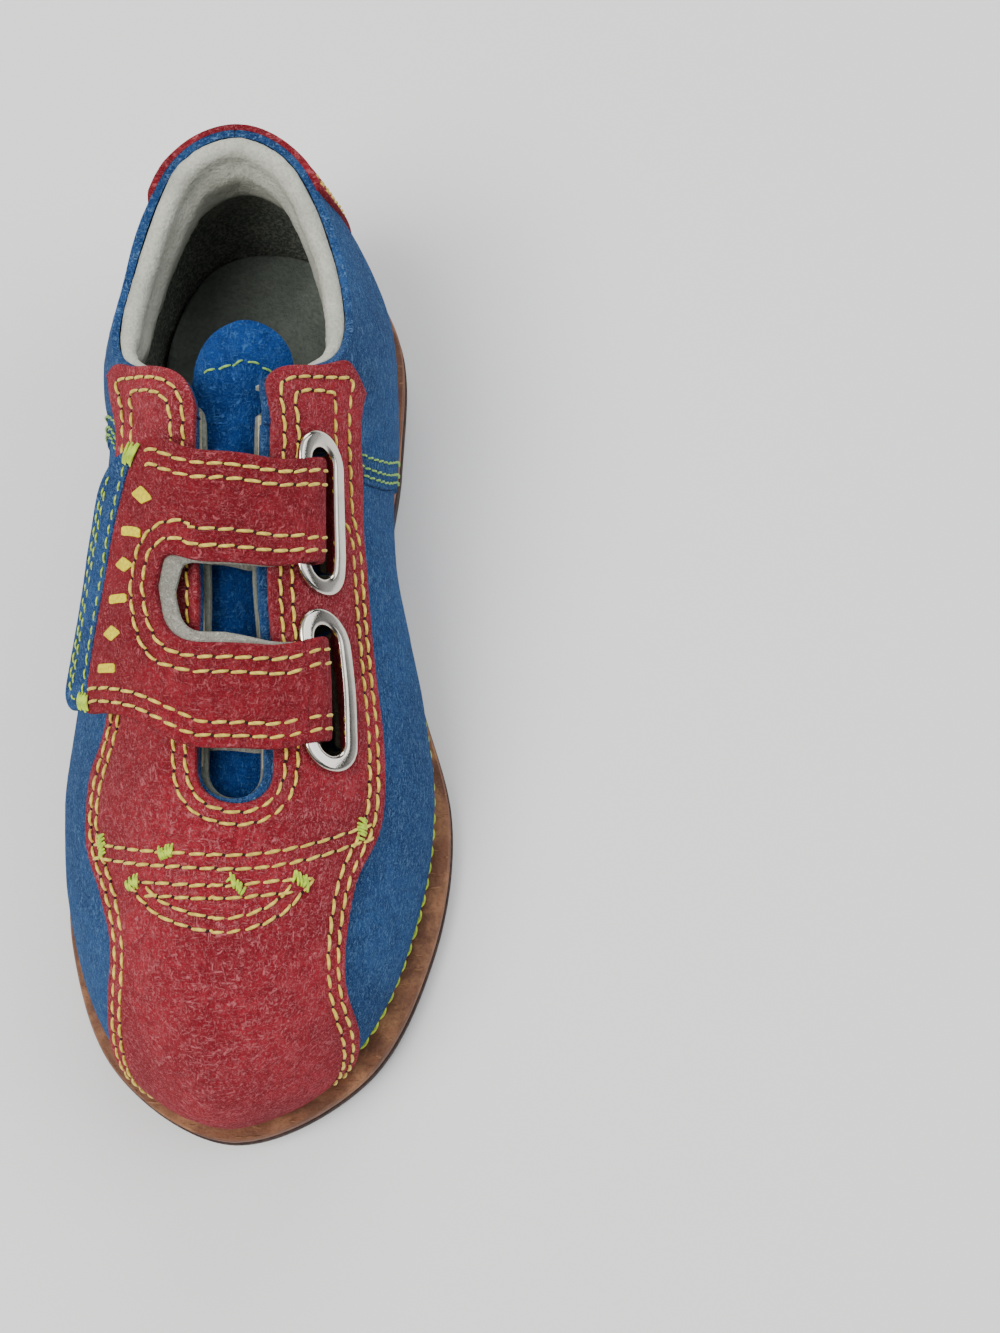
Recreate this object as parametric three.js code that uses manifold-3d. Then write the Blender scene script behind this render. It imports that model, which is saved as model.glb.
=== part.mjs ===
// Child's bowling shoe for the right foot, made as the real shoe is: a lasted upper on a stacked sole,
// closed by a two-finger strap that runs through two oblong grommets and folds back on hook and loop.
// Millimetres, +Z up. The toe points along -Y and the inner (medial) side of the foot is +X.
import * as THREE from "three";
import { mergeVertices } from "three/addons/utils/BufferGeometryUtils.js";
import Module from "manifold-3d";

const wasm = await Module();
wasm.setup();

// ---------------------------------------------------------------- driving dimensions
const SOLE_LENGTH = 205;
const BALL_WIDTH = 80.5;
const INSTEP_HEIGHT = 73;

const OUTSOLE = 3;
const MIDSOLE = 3.7;
const HEEL_LIFT = 7;
const TOE_SPRING = 5;
const GAP = 0.3; // between pieces that touch
const CEMENT = 0.6; // between the upper and the sole, and between the upper and the insole

const SUEDE = 1.3; // overlays, strap and pull tab
const LEATHER = 1.4; // vamp and quarters
const STIFFENER = 0.7;
const LINING = 1.0;
const COLLAR_PAD = 4.5;
const MARGIN = 9; // width of the lasting margin, turned in under the insole

const INSOLE_BOARD = 2;
const SOCK_LINER = 2.5;

const SLOT_LENGTH = 24;
const SLOT_WIDTH = 5.5;
const GROMMET_WALL = 1;
const GROMMET_FLANGE = 3.2;
const FLANGE_THICKNESS = 1.1;
const WASHER = 0.6;
const GROMMET_SPACE = 2.6; // free strip between the two grommets

const BAND_CLEARANCE = 4.8; // slot length less band width
const BAND = 1.3;
const FLAP_LINING = 0.7;
const HOOK_TAPE = 0.9;
const THROAT_WIDTH = 12.5;
const TONGUE = 1.4;
const TONGUE_LINING = 1.1;
const TAB_WIDTH = 10;

// The pattern is drawn for one size and graded to the driving dimensions.
const along = (y) => (y * SOLE_LENGTH) / 205;
const across = (x) => (x * BALL_WIDTH) / 80.5;
const upright = (z) => (z * INSTEP_HEIGHT) / 73;

// ---------------------------------------------------------------- the last: one net of points
// Stations run from the back of the heel (0) to the tip of the toe (9). Each has a sole point, how far the
// feather line lies inside it, the bulge of the wall (out, up), the top point and the pull of the shoulder.
const MEDIAL = 0;
const LATERAL = 1;
const OUTWARD = [1, -1];
const SOLE_POINTS = [
  [[0, 102.5], [19, 96], [30.5, 76], [31, 48], [28.5, 18],
    [36.5, -10], [43, -36], [39.5, -64], [26.5, -90], [0.5, -102.5]],
  [[0, 102.5], [-18, 96], [-27.5, 76], [-28.5, 48], [-30.5, 18],
    [-34.5, -10], [-37.5, -38], [-35.5, -64], [-24, -89], [0.5, -102.5]],
];
const FEATHER_INSET = [
  [3, 3, 3.5, 1.5, -1.5, 0.5, 4, 5, 5, 5],
  [3, 3, 2.5, 1, -0.5, -0.5, 0, 2.5, 4, 5],
];
const BULGE = [
  [2.5, 18], [2.5, 18], [2.5, 18], [3, 18], [4, 17], [4, 15], [3, 14], [3, 14], [3.5, 16], [4, 17],
];
const TOP_POINTS = [
  [[-1.5, 95, 66], [12, 88, 64], [21, 67, 58], [21.5, 45, 62], [4, 31, 73],
    [-0.5, 5, 66], [0, -22, 56], [0, -46, 49.5], [0, -66, 45.5], [0, -80, 41]],
  [[-1.5, 95, 66], [-15, 88, 63.5], [-23.5, 67, 56.5], [-23, 45, 61], [-5, 31, 73],
    [-0.5, 5, 66], [0, -22, 56], [0, -46, 49.5], [0, -66, 45.5], [0, -80, 41]],
];
const SHOULDER = [
  [[0, 5, -16], [3, 4, -16], [6, 1, -16], [7, -1, -12], [15, 0, -2],
    [16, 0, -0.5], [19, 0, -1], [20, -2, -0.5], [14, -12, -2], [0, -16, -4]],
  [[0, 5, -16], [-3, 4, -16], [-6, 1, -16], [-7, -1, -12], [-15, 0, -2],
    [-17, 0, -0.5], [-19, 0, -1], [-18, -2, -0.5], [-14, -12, -2], [0, -16, -4]],
];
const LAST_STATION = 9;
const OPEN_STATION = 5; // the collar is open from the heel to this station

const smooth = (from, to, x) => THREE.MathUtils.smoothstep(x, from, to);
const soleBottom = (y) => {
  const toe = THREE.MathUtils.clamp((along(-55) - y) / along(47.5), 0, 1);
  return TOE_SPRING * toe * toe + HEEL_LIFT * smooth(along(-15), along(32), y);
};
const weltTop = (y) => soleBottom(y) + OUTSOLE + GAP + MIDSOLE;

// Catmull-Rom through a row of vectors, with the other side's neighbours as the ends' ghosts.
function through(rows, ghostStart, ghostEnd, w) {
  const points = [ghostStart, ...rows, ghostEnd];
  const i = Math.min(Math.floor(w), rows.length - 2);
  const [a, b, c, d] = points.slice(i, i + 4);
  const s = w - i;
  const point = new THREE.Vector3();
  for (const k of ["x", "y", "z"]) {
    const slope = (c[k] - a[k]) * s + (2 * a[k] - 5 * b[k] + 4 * c[k] - d[k]) * s * s;
    point[k] = 0.5 * (2 * b[k] + slope + (3 * b[k] - a[k] - 3 * c[k] + d[k]) * s * s * s);
  }
  return point;
}

const SOLE_EDGE = SOLE_POINTS.map((side) => side.map(([x, y]) => new THREE.Vector3(across(x), along(y), 0)));
const NET = [MEDIAL, LATERAL].map((side) => {
  const edge = SOLE_EDGE[side];
  const other = SOLE_EDGE[1 - side];
  const rows = [[], [], [], []];
  edge.forEach((point, i) => {
    const before = i ? edge[i - 1] : other[1];
    const after = i < LAST_STATION ? edge[i + 1] : other[LAST_STATION - 1];
    const tangent = after.clone().sub(before).normalize();
    const out = new THREE.Vector3(-tangent.y, tangent.x, 0).multiplyScalar(OUTWARD[side]);
    const feather = point.clone().addScaledVector(out, -FEATHER_INSET[side][i]);
    feather.z = weltTop(point.y) + CEMENT;
    const [bulgeOut, bulgeUp] = BULGE[i];
    const bulge = feather.clone().addScaledVector(out, bulgeOut);
    bulge.z += upright(bulgeUp);
    const [x, y, z] = TOP_POINTS[side][i];
    const top = new THREE.Vector3(across(x), along(y), upright(z));
    const [dx, dy, dz] = SHOULDER[side][i];
    const shoulder = top.clone().add(new THREE.Vector3(across(dx), along(dy), upright(dz)));
    [feather, bulge, shoulder, top].forEach((row, k) => rows[k].push(row));
  });
  return rows;
});

const rowAt = (side, k, w) => {
  const other = NET[1 - side][k];
  return through(NET[side][k], other[1], other[LAST_STATION - 1], w);
};
const soleEdge = (side, w) => {
  const other = SOLE_EDGE[1 - side];
  return through(SOLE_EDGE[side], other[1], other[LAST_STATION - 1], w);
};

// Outer face of the vamp and quarter leather: w runs from heel to toe, t from the feather line to the top.
function lastPoint(side, w, t) {
  const [a, b, c, d] = [0, 1, 2, 3].map((k) => rowAt(side, k, w));
  return new THREE.CubicBezierCurve3(a, b, c, d).getPoint(t);
}

// ---------------------------------------------------------------- layers of the upper
const STATIONS = [0, 0.3, 0.6, 1, 1.5, 2, 2.5, 3, 3.5, 4, 4.5, 5, 5.5, 6, 6.5, 7, 7.4, 7.8, 8.1, 8.4, 8.7, 9];
const COLUMNS = STATIONS.length - 1;
const ROWS = 8;
const OPEN_COLUMN = STATIONS.indexOf(OPEN_STATION);

// Merged grid of the whole upper: row 0 is the inner edge of the lasting margin, row 1 the feather line.
// Layers outside the leather are offset along the wall; those inside it are mitred where the margin turns in.
const upperGrid = (() => {
  const points = [];
  const keyToId = new Map();
  const id = [MEDIAL, LATERAL].map((side) =>
    Array.from({ length: COLUMNS + 1 }, (_, i) =>
      Array.from({ length: ROWS + 2 }, (_, j) => {
        const point = lastPoint(side, STATIONS[i], Math.max(0, (j - 1) / ROWS));
        if (j === 0) {
          const ahead = rowAt(side, 0, Math.min(STATIONS[i] + 0.05, LAST_STATION));
          const behind = rowAt(side, 0, Math.max(STATIONS[i] - 0.05, 0));
          const ends = i === 0 || i === COLUMNS;
          const atEnd = new THREE.Vector3(i ? -1 : 1, 0, 0).multiplyScalar(OUTWARD[side]);
          const tangent = ends ? atEnd : ahead.sub(behind);
          tangent.setZ(0).normalize();
          point.x += tangent.y * MARGIN * OUTWARD[side];
          point.y -= tangent.x * MARGIN * OUTWARD[side];
          point.z = weltTop(point.y) + CEMENT;
        }
        const shared = i === 0 || i === COLUMNS || (j === ROWS + 1 && i >= OPEN_COLUMN);
        const key = shared ? `${i} ${j}` : `${side} ${i} ${j}`;
        if (!keyToId.has(key)) {
          keyToId.set(key, points.length);
          points.push(point);
        }
        return keyToId.get(key);
      }),
    ),
  );
  const triangles = []; // of the wall, for its normals
  const cells = [];
  for (const side of [MEDIAL, LATERAL])
    for (let i = 0; i < COLUMNS; i++)
      for (let j = 0; j <= ROWS; j++) {
        const [a, b, c, d] = [id[side][i][j], id[side][i + 1][j], id[side][i + 1][j + 1], id[side][i][j + 1]];
        const quad = side === MEDIAL ? [a, d, b, b, d, c] : [a, b, d, b, c, d];
        cells.push({ side, i, j, quad });
        if (j > 0) triangles.push(...quad);
      }
  const geometry = new THREE.BufferGeometry().setFromPoints(points).setIndex(triangles);
  geometry.computeVertexNormals();
  const normal = geometry.getAttribute("normal");
  const outward = points.map((_, k) => new THREE.Vector3().fromBufferAttribute(normal, k));
  const inward = outward.map((direction) => direction.clone());
  const down = new THREE.Vector3(0, 0, -1);
  for (const side of id) for (const column of side) inward[column[0]] = down;
  for (const side of id)
    for (const column of side) {
      const wall = outward[column[1]];
      inward[column[1]] = wall.clone().add(down).divideScalar(1 + wall.dot(down));
    }
  const where = points.map(() => null);
  for (const side of [MEDIAL, LATERAL])
    id[side].forEach((column, i) => {
      column.forEach((k, j) => (where[k] = { w: STATIONS[i], t: (j - 1) / ROWS }));
    });
  return { points, outward, inward, cells, where };
})();

// A closed sheet between two offsets from the last, over the cells that keep() accepts.
function upperLayer(low, high, keep = () => true) {
  const { points, outward, inward, cells, where } = upperGrid;
  const offset = (value, k) => (typeof value === "function" ? value(where[k].w, where[k].t) : value);
  const face = (value) =>
    points.map((point, k) => {
      const height = offset(value, k);
      return point.clone().addScaledVector((height > 0 ? outward : inward)[k], height);
    });
  const quads = cells.filter(keep).map((cell) => cell.quad);
  return closedSheet(face(high), face(low), quads);
}

// Top face, bottom face turned round, and a wall along each open edge.
function closedSheet(top, bottom, quads) {
  const n = top.length;
  const faces = [];
  const edges = new Map();
  for (const quad of quads)
    for (let k = 0; k < quad.length; k += 3) {
      const tri = [quad[k], quad[k + 1], quad[k + 2]];
      if (tri[0] === tri[1] || tri[1] === tri[2] || tri[0] === tri[2]) continue;
      faces.push(...tri, tri[2] + n, tri[1] + n, tri[0] + n);
      tri.forEach((from, m) => edges.set(`${from} ${tri[(m + 1) % 3]}`, [from, tri[(m + 1) % 3]]));
    }
  for (const [from, to] of edges.values())
    if (!edges.has(`${to} ${from}`)) faces.push(to, from, from + n, to, from + n, to + n);
  return solidFrom([...top, ...bottom], faces);
}

// ---------------------------------------------------------------- solids
function solidFrom(points, faces) {
  const raw = new THREE.BufferGeometry().setFromPoints(points).setIndex(faces);
  return solidOf(raw);
}

function solidOf(geometry) {
  geometry.deleteAttribute("normal");
  geometry.deleteAttribute("uv");
  const merged = mergeVertices(geometry, 1e-4);
  const vertProperties = new Float32Array(merged.getAttribute("position").array);
  const corner = [...merged.index.array];
  const triVerts = [];
  for (let k = 0; k < corner.length; k += 3) {
    const [a, b, c] = corner.slice(k, k + 3);
    if (a !== b && b !== c && a !== c) triVerts.push(a, b, c);
  }
  return new wasm.Manifold(new wasm.Mesh({ numProp: 3, vertProperties, triVerts: new Uint32Array(triVerts) }));
}

// Upright prism over a plan outline.
function prism(outline, low, high) {
  const shape = new THREE.Shape(outline.map(([x, y]) => new THREE.Vector2(x, y)));
  const geometry = new THREE.ExtrudeGeometry(shape, { depth: high - low, bevelEnabled: false });
  return solidOf(geometry.translate(0, 0, low));
}
const TALL = 200;
const planPrism = (points) => prism(points.map(([x, y]) => [across(x), along(y)]), -TALL, TALL);
const CURVE_STEPS = 30;
const smoothCurve = (points) =>
  new THREE.CatmullRomCurve3(points.map(([x, y]) => new THREE.Vector3(x, y, 0)), false, "centripetal")
    .getPoints(CURVE_STEPS)
    .map((point) => [point.x, point.y]);

const group = new THREE.Group();
function addPart(name, solid, colour, roughness, metalness = 0) {
  const mesh = solid.getMesh();
  const geometry = new THREE.BufferGeometry();
  geometry.setAttribute("position", new THREE.BufferAttribute(new Float32Array(mesh.vertProperties), 3));
  geometry.setIndex([...mesh.triVerts]);
  geometry.computeVertexNormals();
  const material = new THREE.MeshStandardMaterial({ color: colour, roughness, metalness });
  const part = new THREE.Mesh(geometry, material);
  part.name = name;
  group.add(part);
}

// ---------------------------------------------------------------- pattern space on the instep
// A point is (a, y, h): a is the girth length from the ridge (medial positive) at length y, h is the height
// above the leather. Beyond the last row the pattern runs on straight, as the tongue does.
const PATTERN_BACK = along(29);
const PATTERN_FRONT = along(-72);
const PATTERN_ROWS = 40;
const PATTERN_REACH = 50;
const PATTERN_COLUMNS = 50;
const TONGUE_RISE = 0.22;

function girthLine(y) {
  const sides = [MEDIAL, LATERAL].map((side) => {
    const line = [];
    for (let k = 0; k <= 30; k++) {
      let low = 0;
      let high = LAST_STATION;
      for (let step = 0; step < 26; step++) {
        const middle = (low + high) / 2;
        if (lastPoint(side, middle, k / 30).y > y) low = middle;
        else high = middle;
      }
      line.push(lastPoint(side, low, k / 30));
    }
    return line;
  });
  const medial = sides[MEDIAL].reverse();
  const lateral = sides[LATERAL];
  const line = [...lateral, ...(medial[0].distanceTo(lateral[30]) < 0.01 ? medial.slice(1) : medial)];
  const lengths = [0];
  line.slice(1).forEach((point, k) => lengths.push(lengths[k] + point.distanceTo(line[k])));
  const ridge = (lengths[30] + lengths[line.length - 31]) / 2;
  return (a) => {
    const target = THREE.MathUtils.clamp(a + ridge, 0, lengths.at(-1));
    let k = 1;
    while (lengths[k] < target && k < line.length - 1) k++;
    return line[k - 1].clone().lerp(line[k], (target - lengths[k - 1]) / (lengths[k] - lengths[k - 1]));
  };
}

const pattern = (() => {
  const rows = Array.from({ length: PATTERN_ROWS + 1 }, (_, j) => {
    const line = girthLine(THREE.MathUtils.lerp(PATTERN_FRONT, PATTERN_BACK, j / PATTERN_ROWS));
    const girths = Array.from({ length: PATTERN_COLUMNS + 1 }, (_, i) => (2 * i) / PATTERN_COLUMNS - 1);
    return girths.map((share) => line(PATTERN_REACH * share));
  });
  const normals = rows.map((row, j) =>
    row.map((_, i) => {
      const [left, right] = [row[Math.max(i - 1, 0)], row[Math.min(i + 1, PATTERN_COLUMNS)]];
      const [front, back] = [rows[Math.max(j - 1, 0)][i], rows[Math.min(j + 1, PATTERN_ROWS)][i]];
      return right.clone().sub(left).cross(back.clone().sub(front)).normalize();
    }),
  );
  const sample = (table, u, v) => {
    const i = Math.min(Math.floor(u), PATTERN_COLUMNS - 1);
    const j = Math.min(Math.floor(v), PATTERN_ROWS - 1);
    const front = table[j][i].clone().lerp(table[j][i + 1], u - i);
    const back = table[j + 1][i].clone().lerp(table[j + 1][i + 1], u - i);
    return front.lerp(back, v - j);
  };
  return (a, y, h) => {
    const u = THREE.MathUtils.clamp(((a / PATTERN_REACH + 1) / 2) * PATTERN_COLUMNS, 0, PATTERN_COLUMNS);
    const inside = THREE.MathUtils.clamp(y, PATTERN_FRONT, PATTERN_BACK);
    const v = ((inside - PATTERN_FRONT) / (PATTERN_BACK - PATTERN_FRONT)) * PATTERN_ROWS;
    const point = sample(rows, u, v).addScaledVector(sample(normals, u, v).normalize(), h);
    point.y += y - inside;
    point.z += (y - inside) * TONGUE_RISE;
    return point;
  };
})();

// Closed sheet over a grid of columns and rows; place(i, j, face) gives each point, face 1 on top and 0 below.
function gridSheet(columns, rows, place, keep = () => true) {
  const faces = [1, 0].map((face) => {
    const points = [];
    for (let i = 0; i <= columns; i++) for (let j = 0; j <= rows; j++) points.push(place(i, j, face));
    return points;
  });
  const quads = [];
  for (let i = 0; i < columns; i++)
    for (let j = 0; j < rows; j++) {
      const a = i * (rows + 1) + j;
      const b = a + rows + 1;
      if (keep(i, j)) quads.push([a, b, a + 1, b, b + 1, a + 1]);
    }
  return closedSheet(faces[0], faces[1], quads);
}

// Solid over a closed outline in pattern space, from one height to another.
function patternPlug(outline, centre, low, high) {
  const place = (k, h) => pattern(outline[k][0], outline[k][1], h);
  const heights = [low, (low * 2 + high) / 3, (low + high * 2) / 3, high];
  const n = outline.length;
  const points = heights.flatMap((h) => outline.map((_, k) => place(k, h)));
  points.push(pattern(...centre, low), pattern(...centre, high));
  const faces = [];
  for (let k = 0; k < n; k++) {
    const next = (k + 1) % n;
    for (let level = 0; level < 3; level++) {
      const [a, b] = [level * n + k, level * n + next];
      const [c, d] = [b + n, a + n];
      faces.push(a, b, d, b, c, d);
    }
    faces.push(next, k, 4 * n, 3 * n + k, 3 * n + next, 4 * n + 1);
  }
  return solidFrom(points, faces);
}

// ---------------------------------------------------------------- heights of the layers about the leather
const OVERLAY_LOW = GAP;
const OVERLAY_HIGH = OVERLAY_LOW + SUEDE;
const STIFF_HIGH = -LEATHER - GAP;
const STIFF_LOW = STIFF_HIGH - STIFFENER;
const LINING_HIGH = STIFF_LOW - GAP;
const LINING_LOW = LINING_HIGH - LINING;
const WASHER_HIGH = LINING_LOW - GAP;
const WASHER_LOW = WASHER_HIGH - WASHER;
const BAND_HIGH = WASHER_LOW - 2 * GAP;
const BAND_LOW = BAND_HIGH - BAND;
const TONGUE_HIGH = BAND_LOW - 0.6;
const TONGUE_LOW = TONGUE_HIGH - TONGUE;
const TONGUE_LINING_HIGH = TONGUE_LOW - GAP;
const TONGUE_LINING_LOW = TONGUE_LINING_HIGH - TONGUE_LINING;
const FLANGE_LOW = OVERLAY_HIGH + GAP;
const FLANGE_HIGH = FLANGE_LOW + FLANGE_THICKNESS;
const LOOP_LOW = OVERLAY_HIGH + GAP;
const LOOP_HIGH = LOOP_LOW + HOOK_TAPE;
const HOOK_LOW = LOOP_HIGH + 0.6;
const HOOK_HIGH = HOOK_LOW + HOOK_TAPE;
const FLAP_LINING_LOW = Math.max(HOOK_HIGH, FLANGE_HIGH) + GAP;
const FLAP_LINING_HIGH = FLAP_LINING_LOW + FLAP_LINING;
const FLAP_LOW = FLAP_LINING_HIGH + GAP;
const FLAP_HIGH = FLAP_LOW + SUEDE;

// ---------------------------------------------------------------- grommets and throat places
const FLANGE_LENGTH = SLOT_LENGTH + 2 * GROMMET_FLANGE;
const GROMMET_A = across(21.6);
const GROMMET_MIDDLE = along(-4);
const GROMMETS = [
  { name: "front", y: GROMMET_MIDDLE - (FLANGE_LENGTH + GROMMET_SPACE) / 2 - 0.5 },
  { name: "rear", y: GROMMET_MIDDLE + (FLANGE_LENGTH + GROMMET_SPACE) / 2 - 0.5 },
];
const THROAT_A = across(2.8);
const THROAT_FRONT = along(-43);
const THROAT_BACK = along(50);
const BAND_WIDTH = SLOT_LENGTH - BAND_CLEARANCE;

// Oblong outline along y, at a distance outside the slot's own edge.
function slotOutline(grommet, outside, arcSteps = 6) {
  const radius = SLOT_WIDTH / 2 + outside;
  const straight = (SLOT_LENGTH - SLOT_WIDTH) / 2;
  const outline = [];
  for (const end of [1, -1])
    for (let k = 0; k <= arcSteps; k++) {
      const angle = (end > 0 ? 0 : Math.PI) + (k / arcSteps) * Math.PI;
      const y = grommet.y + end * straight + radius * Math.sin(angle);
      outline.push([GROMMET_A + radius * Math.cos(angle), y]);
    }
  const dense = [];
  outline.forEach(([a, y], k) => {
    const [nextA, nextY] = outline[(k + 1) % outline.length];
    dense.push([a, y]);
    const long = Math.hypot(nextA - a, nextY - y) > straight;
    if (long) for (const s of [1 / 3, 2 / 3]) dense.push([a + (nextA - a) * s, y + (nextY - y) * s]);
  });
  return dense;
}

const slotHoles = GROMMETS.map((grommet) => {
  const outline = slotOutline(grommet, GROMMET_WALL + GAP);
  return patternPlug(outline, [GROMMET_A, grommet.y], WASHER_LOW - 3, FLANGE_HIGH + 3);
});
const throatOutline = (() => {
  const half = THROAT_WIDTH / 2;
  const bend = THROAT_FRONT + half; // where the sides run into the round front
  const quarters = [0, 1, 2, 3, 4].map((k) => k / 4);
  const outline = [[THROAT_A + half, THROAT_BACK]];
  for (const s of quarters) outline.push([THROAT_A - half, THROAT_BACK + (bend - THROAT_BACK) * s]);
  for (let k = 1; k < 8; k++) {
    const angle = Math.PI + (k / 8) * Math.PI;
    outline.push([THROAT_A + half * Math.cos(angle), bend + half * Math.sin(angle)]);
  }
  for (const s of quarters.slice(0, 4)) outline.push([THROAT_A + half, bend + (THROAT_BACK - bend) * s]);
  return outline;
})();
const throatHole = patternPlug(throatOutline, [THROAT_A, along(-10)], BAND_LOW - 3, FLAP_HIGH);
const openFront = (solid) => slotHoles.reduce((rest, hole) => rest.subtract(hole), solid.subtract(throatHole));

// ---------------------------------------------------------------- upper: outer pieces
const SIDE_SEAM = [[-60, 61], [-28, 39], [-22, 25], [0, 25], [24, 24], [30, 38], [60, 60]];
const seamCut = (shift, rear) => {
  const edge = SIDE_SEAM.map(([x, y]) => [x, y + shift]);
  const far = rear ? 150 : -150;
  const outline = [...edge, [60, far], [-60, far]];
  return planPrism(rear ? outline : outline.reverse());
};
const BLUE = 0x2c568c;
const RED = 0x9a2b3a;
const GREY = 0xa9a8a2;

const leather = upperLayer(-LEATHER, 0);
addPart("vamp", openFront(leather.intersect(seamCut(0, false))), BLUE, 0.95);
const quarters = openFront(leather.intersect(seamCut(GAP, true)));
const sidePlan = (side, gap) => {
  const inner = OUTWARD[side] * gap;
  const outer = OUTWARD[side] * 90;
  const outline = [[inner, -150], [outer, -150], [outer, 150], [inner, 150]];
  return planPrism(side === MEDIAL ? outline : outline.reverse());
};
addPart("quarter_medial", quarters.intersect(sidePlan(MEDIAL, GAP / 2)), BLUE, 0.95);
addPart("quarter_lateral", quarters.intersect(sidePlan(LATERAL, GAP / 2)), BLUE, 0.95);

const aboveFeather = ({ j }) => j > 0;
const APRON_EDGE = [
  [-24.5, 43], [-22.7, 35], [-22.4, 8], [-22.1, -23], [-26.1, -35.5], [-26.6, -47.5], [-22.5, -58.5], [-19.7, -70.5],
  [-20.6, -84], [-19.5, -120],
];
const APRON_EDGE_MEDIAL = [
  [25, -120], [25.3, -84.5], [22.7, -73], [24.3, -57], [28.6, -45.5], [29.5, -36.5], [28.2, -20], [26.5, -6], [25, 9],
  [24.2, 27], [25, 46],
];
const apronOutline = [...smoothCurve(APRON_EDGE), ...smoothCurve(APRON_EDGE_MEDIAL)];
const overlay = upperLayer(OVERLAY_LOW, OVERLAY_HIGH, aboveFeather);
addPart("apron", openFront(overlay.intersect(planPrism(apronOutline))), RED, 0.95);
const HEEL_PATCH_EDGE = [[45, 86], [24, 85], [14, 84], [0, 78], [-15, 84], [-24, 85], [-45, 86]];
const heelPatchPlan = [...HEEL_PATCH_EDGE, [-45, 140], [45, 140]].reverse();
addPart("heel_patch", overlay.intersect(planPrism(heelPatchPlan)), RED, 0.95);

// ---------------------------------------------------------------- upper: stiffeners, foam and linings
const padding = (w, t) => {
  const section = smooth(0.5, 0.74, t) * (1 - 0.55 * smooth(0.88, 1, t));
  return COLLAR_PAD * section * (1 - smooth(2.5, 3.3, w));
};
const stiff = upperLayer(STIFF_LOW, STIFF_HIGH, aboveFeather);
const TOE_PUFF_PLAN = [[-60, -150], [60, -150], [60, -66], [0, -62], [-60, -66]];
addPart("toe_puff", stiff.intersect(planPrism(TOE_PUFF_PLAN)), 0xd8cfb8, 0.7);
const COUNTER_ROWS = 5;
const COUNTER_COLUMNS = 7;
const counterCells = ({ i, j }) => j > 0 && j <= COUNTER_ROWS && i < COUNTER_COLUMNS;
addPart("heel_counter", upperLayer(STIFF_LOW, STIFF_HIGH, counterCells), 0xb9a98a, 0.7);

// Slab between two girths, two lengths and two heights of the pattern.
function patternSlab(girths, lengths, heights, columns = 8, rows = 12) {
  return gridSheet(columns, rows, (i, j, face) =>
    pattern(
      THREE.MathUtils.lerp(girths[0], girths[1], i / columns),
      THREE.MathUtils.lerp(lengths[0], lengths[1], j / rows),
      heights[face],
    ),
  );
}
const STAY_REACH = across(30);
const STAY_LENGTHS = [along(-37), along(27)];
const STAY_ZONE = [STIFF_LOW - 2, STIFF_HIGH + 2];
const stays = openFront(stiff);
const medialStay = patternSlab([THROAT_A, STAY_REACH], STAY_LENGTHS, STAY_ZONE);
const lateralStay = patternSlab([-STAY_REACH, THROAT_A], STAY_LENGTHS, STAY_ZONE);
addPart("facing_stay_medial", stays.intersect(medialStay), 0xcfc8b8, 0.8);
addPart("facing_stay_lateral", stays.intersect(lateralStay), 0xcfc8b8, 0.8);

const FOAM_COLUMNS = 8;
const foamCells = ({ i, j }) => j === COUNTER_ROWS + 2 && i < FOAM_COLUMNS;
const foamLow = (w, t) => STIFF_LOW - padding(w, t);
addPart("collar_foam", upperLayer(foamLow, STIFF_HIGH, foamCells), 0xd9c98f, 0.9);

// The lining rolls out over the foam to meet the leather along the collar's top edge.
const liningLow = (w, t) => LINING_LOW - padding(w, t);
const liningHigh = (w, t) => (t > 0.99 && w < 3.4 ? STIFF_HIGH : LINING_HIGH - padding(w, t));
const lining = openFront(upperLayer(liningLow, liningHigh, aboveFeather));
const LINING_SEAM = 3; // the lining's seam lies behind the leather's
addPart("vamp_lining", lining.intersect(seamCut(LINING_SEAM, false)), GREY, 0.9);
addPart("quarter_lining", lining.intersect(seamCut(LINING_SEAM + GAP, true)), GREY, 0.9);

// ---------------------------------------------------------------- tongue
const TONGUE_ROOT = along(-46);
const TONGUE_TOP = along(47);
const TONGUE_HALF = across(17.5);
const TONGUE_LEAN = across(3.5); // its top lies this much nearer the medial side than its root
const TONGUE_ROUNDING = along(17); // length of its rounded top
function tongueHalf(y) {
  const widening = 0.72 + 0.28 * smooth(TONGUE_ROOT, along(-15), y);
  const fromTop = THREE.MathUtils.clamp((y - (TONGUE_TOP - TONGUE_ROUNDING)) / TONGUE_ROUNDING, 0, 0.95);
  return TONGUE_HALF * widening * Math.sqrt(1 - fromTop ** 2.6);
}
const tongueMiddle = (y) => THROAT_A + TONGUE_LEAN * smooth(0, along(45), y);
const TONGUE_DROOP = 0.02; // fall of its sides per square of the distance from its middle, where it lies free
const TONGUE_FREE = 34.5; // where it leaves the facings
// The tongue follows the instep at its root and flattens towards its free top.
function tonguePoint(y, reach, h) {
  const middle = tongueMiddle(y);
  const followed = pattern(middle + reach, y, h);
  const free = pattern(middle, y, h).add(new THREE.Vector3(reach, 0, -TONGUE_DROOP * reach * reach));
  return followed.lerp(free, 0.85 * smooth(along(TONGUE_FREE), TONGUE_TOP, y));
}
function tongueLayer(heights, edge) {
  const columns = 8;
  const rows = 18;
  return gridSheet(columns, rows, (i, j, face) => {
    const y = THREE.MathUtils.lerp(TONGUE_ROOT + edge, TONGUE_TOP - edge, j / rows);
    return tonguePoint(y, (tongueHalf(y) - edge) * ((2 * i) / columns - 1), heights[face]);
  });
}
const LINING_EDGE = 0.8; // the lining is cut back from the tongue's edge
addPart("tongue", tongueLayer([TONGUE_LOW, TONGUE_HIGH], 0), BLUE, 0.95);
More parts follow.
